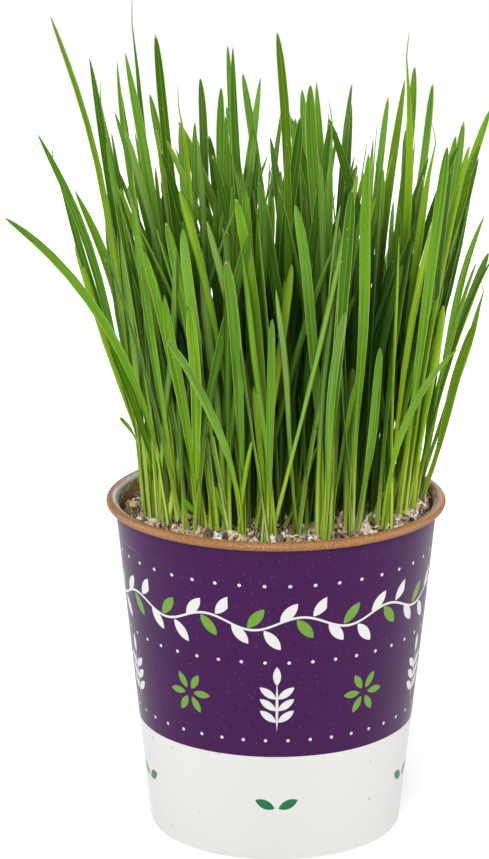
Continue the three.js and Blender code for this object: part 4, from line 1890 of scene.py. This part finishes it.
@dataclass
class Dressing:
    """The bed on the roots and the coarse mineral chunks that cover it. Sizes are in mm."""

    bottom: float = 101.3
    bed_top: float = 105.5
    relief: float = 0.56
    highest: Span = (111.2, 113.2)  # on the pot's axis, and anywhere
    count: int = 1300
    tries: int = 10400
    edge_tries: int = 500  # first chunks are tried along the wall
    edge_reach: Span = (1.6, 6.5)  # from the wall
    edge_shares: tuple[float, ...] = (0.34, 0.26, 0.4, 0.0)
    size_bias: Span = (0.9, 1.5)  # along the wall, and elsewhere: above 1 means more small ones
    seed: int = 907
    wall_gap: float = 0.4
    stem_clearance: float = 0.5
    stem_reach: float = 0.27  # share of a chunk's size that stays clear of a stem
    stacking: float = 0.34  # chunks nearer than this share of their sizes lie on each other
    sinking: float = 0.3  # share of a chunk's size that the next one sinks into it
    standing: float = 0.78  # share of its size that a chunk stands up
    middle: float = 0.34  # share of its size at which its middle lies
    side_stretch: Span = (0.75, 1.0)
    rings: int = 44
    columns: int = 150

    def kinds(self) -> list[ChunkKind]:
        """The kinds of chunk, with their finishes."""
        white = ChunkFinish(
            "white_chunk", (0.95, 0.93, 0.88), (0.24, 0.17, 0.11), (0.66, 0.48, 0.29), darkness=0.4
        )
        tan = ChunkFinish("tan_chunk", (0.84, 0.62, 0.41), (0.05, 0.027, 0.014), (0.2, 0.12, 0.075))
        flaked = ChunkFinish(
            "flaked_chunk", (0.84, 0.68, 0.44), (0.04, 0.022, 0.012), (0.22, 0.13, 0.07), layers=4.5
        )
        grit = ChunkFinish("grit", (0.42, 0.32, 0.22), (0.08, 0.05, 0.03), (0.12, 0.085, 0.06))
        return [
            ChunkKind("white_chunks", white, ChunkForm.LUMP, 0.17, (3.2, 7.2), (0.7, 1.0), 2.4, 2.2),
            ChunkKind("tan_chunks", tan, ChunkForm.LUMP, 0.24, (3.0, 6.6), (0.6, 1.0), 2.4, 2.0),
            ChunkKind("flaked_chunks", flaked, ChunkForm.FLAKED, 0.2, (3.4, 7.6), (0.6, 1.1), 1.2, 2.6),
            ChunkKind("grit", grit, ChunkForm.CRUMB, 0.34, (1.0, 2.6), (0.6, 1.0), 1.6, 1.6),
        ]

    def rise(self, x: float, y: float) -> float:
        """How much higher the sloping bed lies than on the axis, in mm."""
        return BED_SLOPE[0] * x + BED_SLOPE[1] * y

    def bed_height(self, x: float, y: float) -> float:
        """The height of the bed's surface in mm, with its low swells."""
        swell = math.sin(x / 5.1 + 1.3) * math.cos(y / 6.3) + 0.6 * math.sin(x / 2.3 - y / 2.9)
        return self.bed_top + self.rise(x, y) + self.relief * swell

    def bed_lift(self, radius: float, height: float, angle: float) -> float:
        """How far in mm the bed's surface, but not its foot, lies above its flat profile."""
        turn = math.radians(angle)
        surface = self.bed_height(radius * math.cos(turn), radius * math.sin(turn))
        return surface - self.bed_top if height == self.bed_top else 0.0

    def bed(self, pot: PaperPot) -> Piece:
        """The crumbly bed, up to the wall."""
        edge = pot.free(self.bed_top)
        profile = [ProfilePoint(edge * ring / self.rings, self.bed_top) for ring in range(self.rings + 1)]
        profile.append(ProfilePoint(pot.free(self.bottom), self.bottom))
        profile.append(ProfilePoint(0.0, self.bottom))
        angles = even_angles(self.columns)
        shape = TurnedShape("dressing_bed", profile, angles, pot.height, lift=self.bed_lift, sharp_from=50.0)
        return shape.build(CrumbFinish("dressing_crumbs").build())

    def chunk(self, kind: ChunkKind, foot: Point, size: float, numbers: random.Random) -> Chunk:
        """A chunk with its own turn, stretch and tint.

        Args:
            kind: its kind.
            foot: the point that it rests on, in mm.
            size: in mm.
            numbers: the generator.

        Returns:
            The chunk.
        """
        flatness = numbers.uniform(*kind.flatness)
        place = Vector((*foot[:2], foot[2] + self.middle * size)) * MM
        turn = tuple(numbers.uniform(0, FULL_TURN) for _ in range(3))
        stretch = (size * MM, size * MM * numbers.uniform(*self.side_stretch), size * MM * flatness)
        return Chunk(place, turn, stretch, numbers.random())

    def places(self, blades: list[Blade], pot: PaperPot, kinds: list[ChunkKind]) -> dict[str, list[Chunk]]:
        """Where each chunk lies: on the bed, or on the chunks that are already under it.

        Args:
            blades: the blades, whose roots the chunks stay clear of.
            pot: the pot, whose wall they stay inside.
            kinds: the kinds of chunk.

        Returns:
            For each kind, by name, its chunks.
        """
        numbers = random.Random(self.seed)
        found: dict[str, list[Chunk]] = {kind.name: [] for kind in kinds}
        taken: list[tuple[float, float, float, float]] = []
        wall = pot.inner(self.bed_top) - self.wall_gap
        shares = [kind.share for kind in kinds]
        for attempt in range(self.tries):
            if len(taken) >= self.count:
                break
            by_wall = attempt < self.edge_tries
            if by_wall:
                reach = wall - numbers.uniform(*self.edge_reach)
            else:
                reach = wall * math.sqrt(numbers.random())
            angle = numbers.uniform(0, FULL_TURN)
            x, y = reach * math.cos(angle), reach * math.sin(angle)
            kind = numbers.choices(kinds, self.edge_shares if by_wall else shares)[0]
            size = lerp(*kind.sizes, numbers.random() ** self.size_bias[0 if by_wall else 1])
            free = self.stem_reach * size + self.stem_clearance
            at_stem = any(math.hypot(x - blade.root[0], y - blade.root[1]) < free for blade in blades)
            if reach + size * 0.5 > wall or at_stem:
                continue
            rest = self.bed_height(x, y)
            for other_x, other_y, other_size, other_top in taken:
                if math.hypot(x - other_x, y - other_y) < self.stacking * (size + other_size):
                    rest = max(rest, other_top - self.sinking * other_size)
            top = rest + self.standing * size
            if top > min(self.highest[0] + 2 * self.rise(x, y), self.highest[1]):
                continue
            taken.append((x, y, size, top))
            found[kind.name].append(self.chunk(kind, (x, y, rest), size, numbers))
        return found

    def chunks(self, kind: ChunkKind, found: list[Chunk]) -> Piece:
        """Makes all chunks of one kind.

        Args:
            kind: the kind.
            found: its chunks.

        Returns:
            The piece.
        """
        piece = point_mesh(kind.name, [chunk.place for chunk in found], [])
        carry(piece, "turn", [value for chunk in found for value in chunk.turn], vectors=True)
        carry(piece, "stretch", [value for chunk in found for value in chunk.stretch], vectors=True)
        carry(piece, "tint", [chunk.tint for chunk in found])
        tree = chunk_tree(kind.form)
        tree.put_on(piece, Ruggedness=kind.ruggedness, Grain=kind.grain, Finish=kind.finish.build())
        return piece

    def build(self, blades: list[Blade], pot: PaperPot) -> None:
        """Makes and dresses the bed and its chunks."""
        ride(self.bed(pot), "mineral", "top_dressing")
        kinds = self.kinds()
        found = self.places(blades, pot, kinds)
        for kind in kinds:
            ride(self.chunks(kind, found[kind.name]), "mineral", "top_dressing")


# ---- studio ----
@dataclass
class SoftLight:
    """A large soft white panel, aimed at the plant. Sizes are in metres and power is in watts."""

    name: str
    place: Point
    width: float
    power: float
    target: Point = (0.0, 0.0, 0.14)

    def build(self) -> None:
        """Makes the light."""
        light = bpy.data.lights.new(self.name, "AREA")
        light.shape = "SQUARE"
        light.size = self.width
        light.energy = self.power
        made = bpy.data.objects.new(self.name, light)
        made.location = self.place
        direction = Vector(self.target) - Vector(self.place)
        made.rotation_euler = direction.to_track_quat("-Z", "Y").to_euler()
        made.visible_camera = False
        bpy.context.scene.collection.objects.link(made)


@dataclass
class Studio:
    """Camera, floor, surrounding light and soft panels. Places and sizes are in metres."""

    camera_place: Point = (-0.0104, -0.981, 0.402)
    camera_pitch: float = 15.26  # degrees down
    lens: float = 129.63  # mm, on a sensor of this width
    sensor_width: float = 36.0
    floor_radius: float = 1.8
    surround: float = 0.18
    lights: tuple[SoftLight, ...] = (
        SoftLight("front_panel", (-0.2, -1.25, 0.8), 0.6, 15.0),
        SoftLight("left_panel", (-1.15, 0.25, 0.55), 1.0, 9.0),
        SoftLight("right_panel", (1.15, 0.0, 0.6), 0.8, 9.0),
        SoftLight("top_panel", (0.05, 0.0, 1.5), 0.7, 6.0),
        SoftLight("back_panel", (0.2, 1.2, 0.6), 0.7, 3.0),
    )

    def camera(self) -> None:
        """Makes the camera and gives it to the scene."""
        data = bpy.data.cameras.new("camera")
        data.lens = self.lens
        data.sensor_width = self.sensor_width
        data.clip_start = 0.01
        camera = bpy.data.objects.new("camera", data)
        camera.location = self.camera_place
        camera.rotation_euler = (math.radians(90 - self.camera_pitch), 0.0, 0.0)
        bpy.context.scene.collection.objects.link(camera)
        bpy.context.scene.camera = camera

    def floor(self) -> None:
        """Makes the pale floor."""
        work = bmesh.new()
        bmesh.ops.create_circle(work, cap_ends=True, radius=self.floor_radius, segments=64)
        mesh = bpy.data.meshes.new("studio_floor")
        work.to_mesh(mesh)
        work.free()
        mesh.materials.append(FloorFinish().build())
        new_piece("studio_floor", mesh)

    def world(self) -> None:
        """Sets the even surrounding light, which looks white behind the plant."""
        world = bpy.data.worlds.new("studio")
        world.use_nodes = True
        maker = ShaderMaker(world.node_tree)
        background = world.node_tree.nodes["Background"]
        maker.feed(background.inputs["Color"], opaque(WHITE))
        seen = maker.seen_by_camera()
        strength = maker.math("MULTIPLY_ADD", seen, 1.0 - self.surround, self.surround)
        maker.feed(background.inputs["Strength"], strength)
        bpy.context.scene.world = world

    def build(self) -> None:
        """Sets up the studio."""
        bpy.context.scene.view_settings.view_transform = "Standard"
        self.camera()
        self.floor()
        self.world()
        for light in self.lights:
            light.build()


def main() -> None:
    """Builds the studio and the part, sub-assembly by sub-assembly."""
    logging.basicConfig(level=logging.INFO, format="%(name)s: %(message)s")
    Studio().build()
    pot = PaperPot()
    pot.build()
    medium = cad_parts["growing_medium"]
    medium.data.materials.clear()
    medium.data.materials.append(CrumbFinish("compost").build())
    log.info("growing_medium keeps its CAD mesh, with the compost finish")
    blades = Grass().build(pot)
    Dressing().build(blades, pot)


if __name__ == "__main__":
    main()
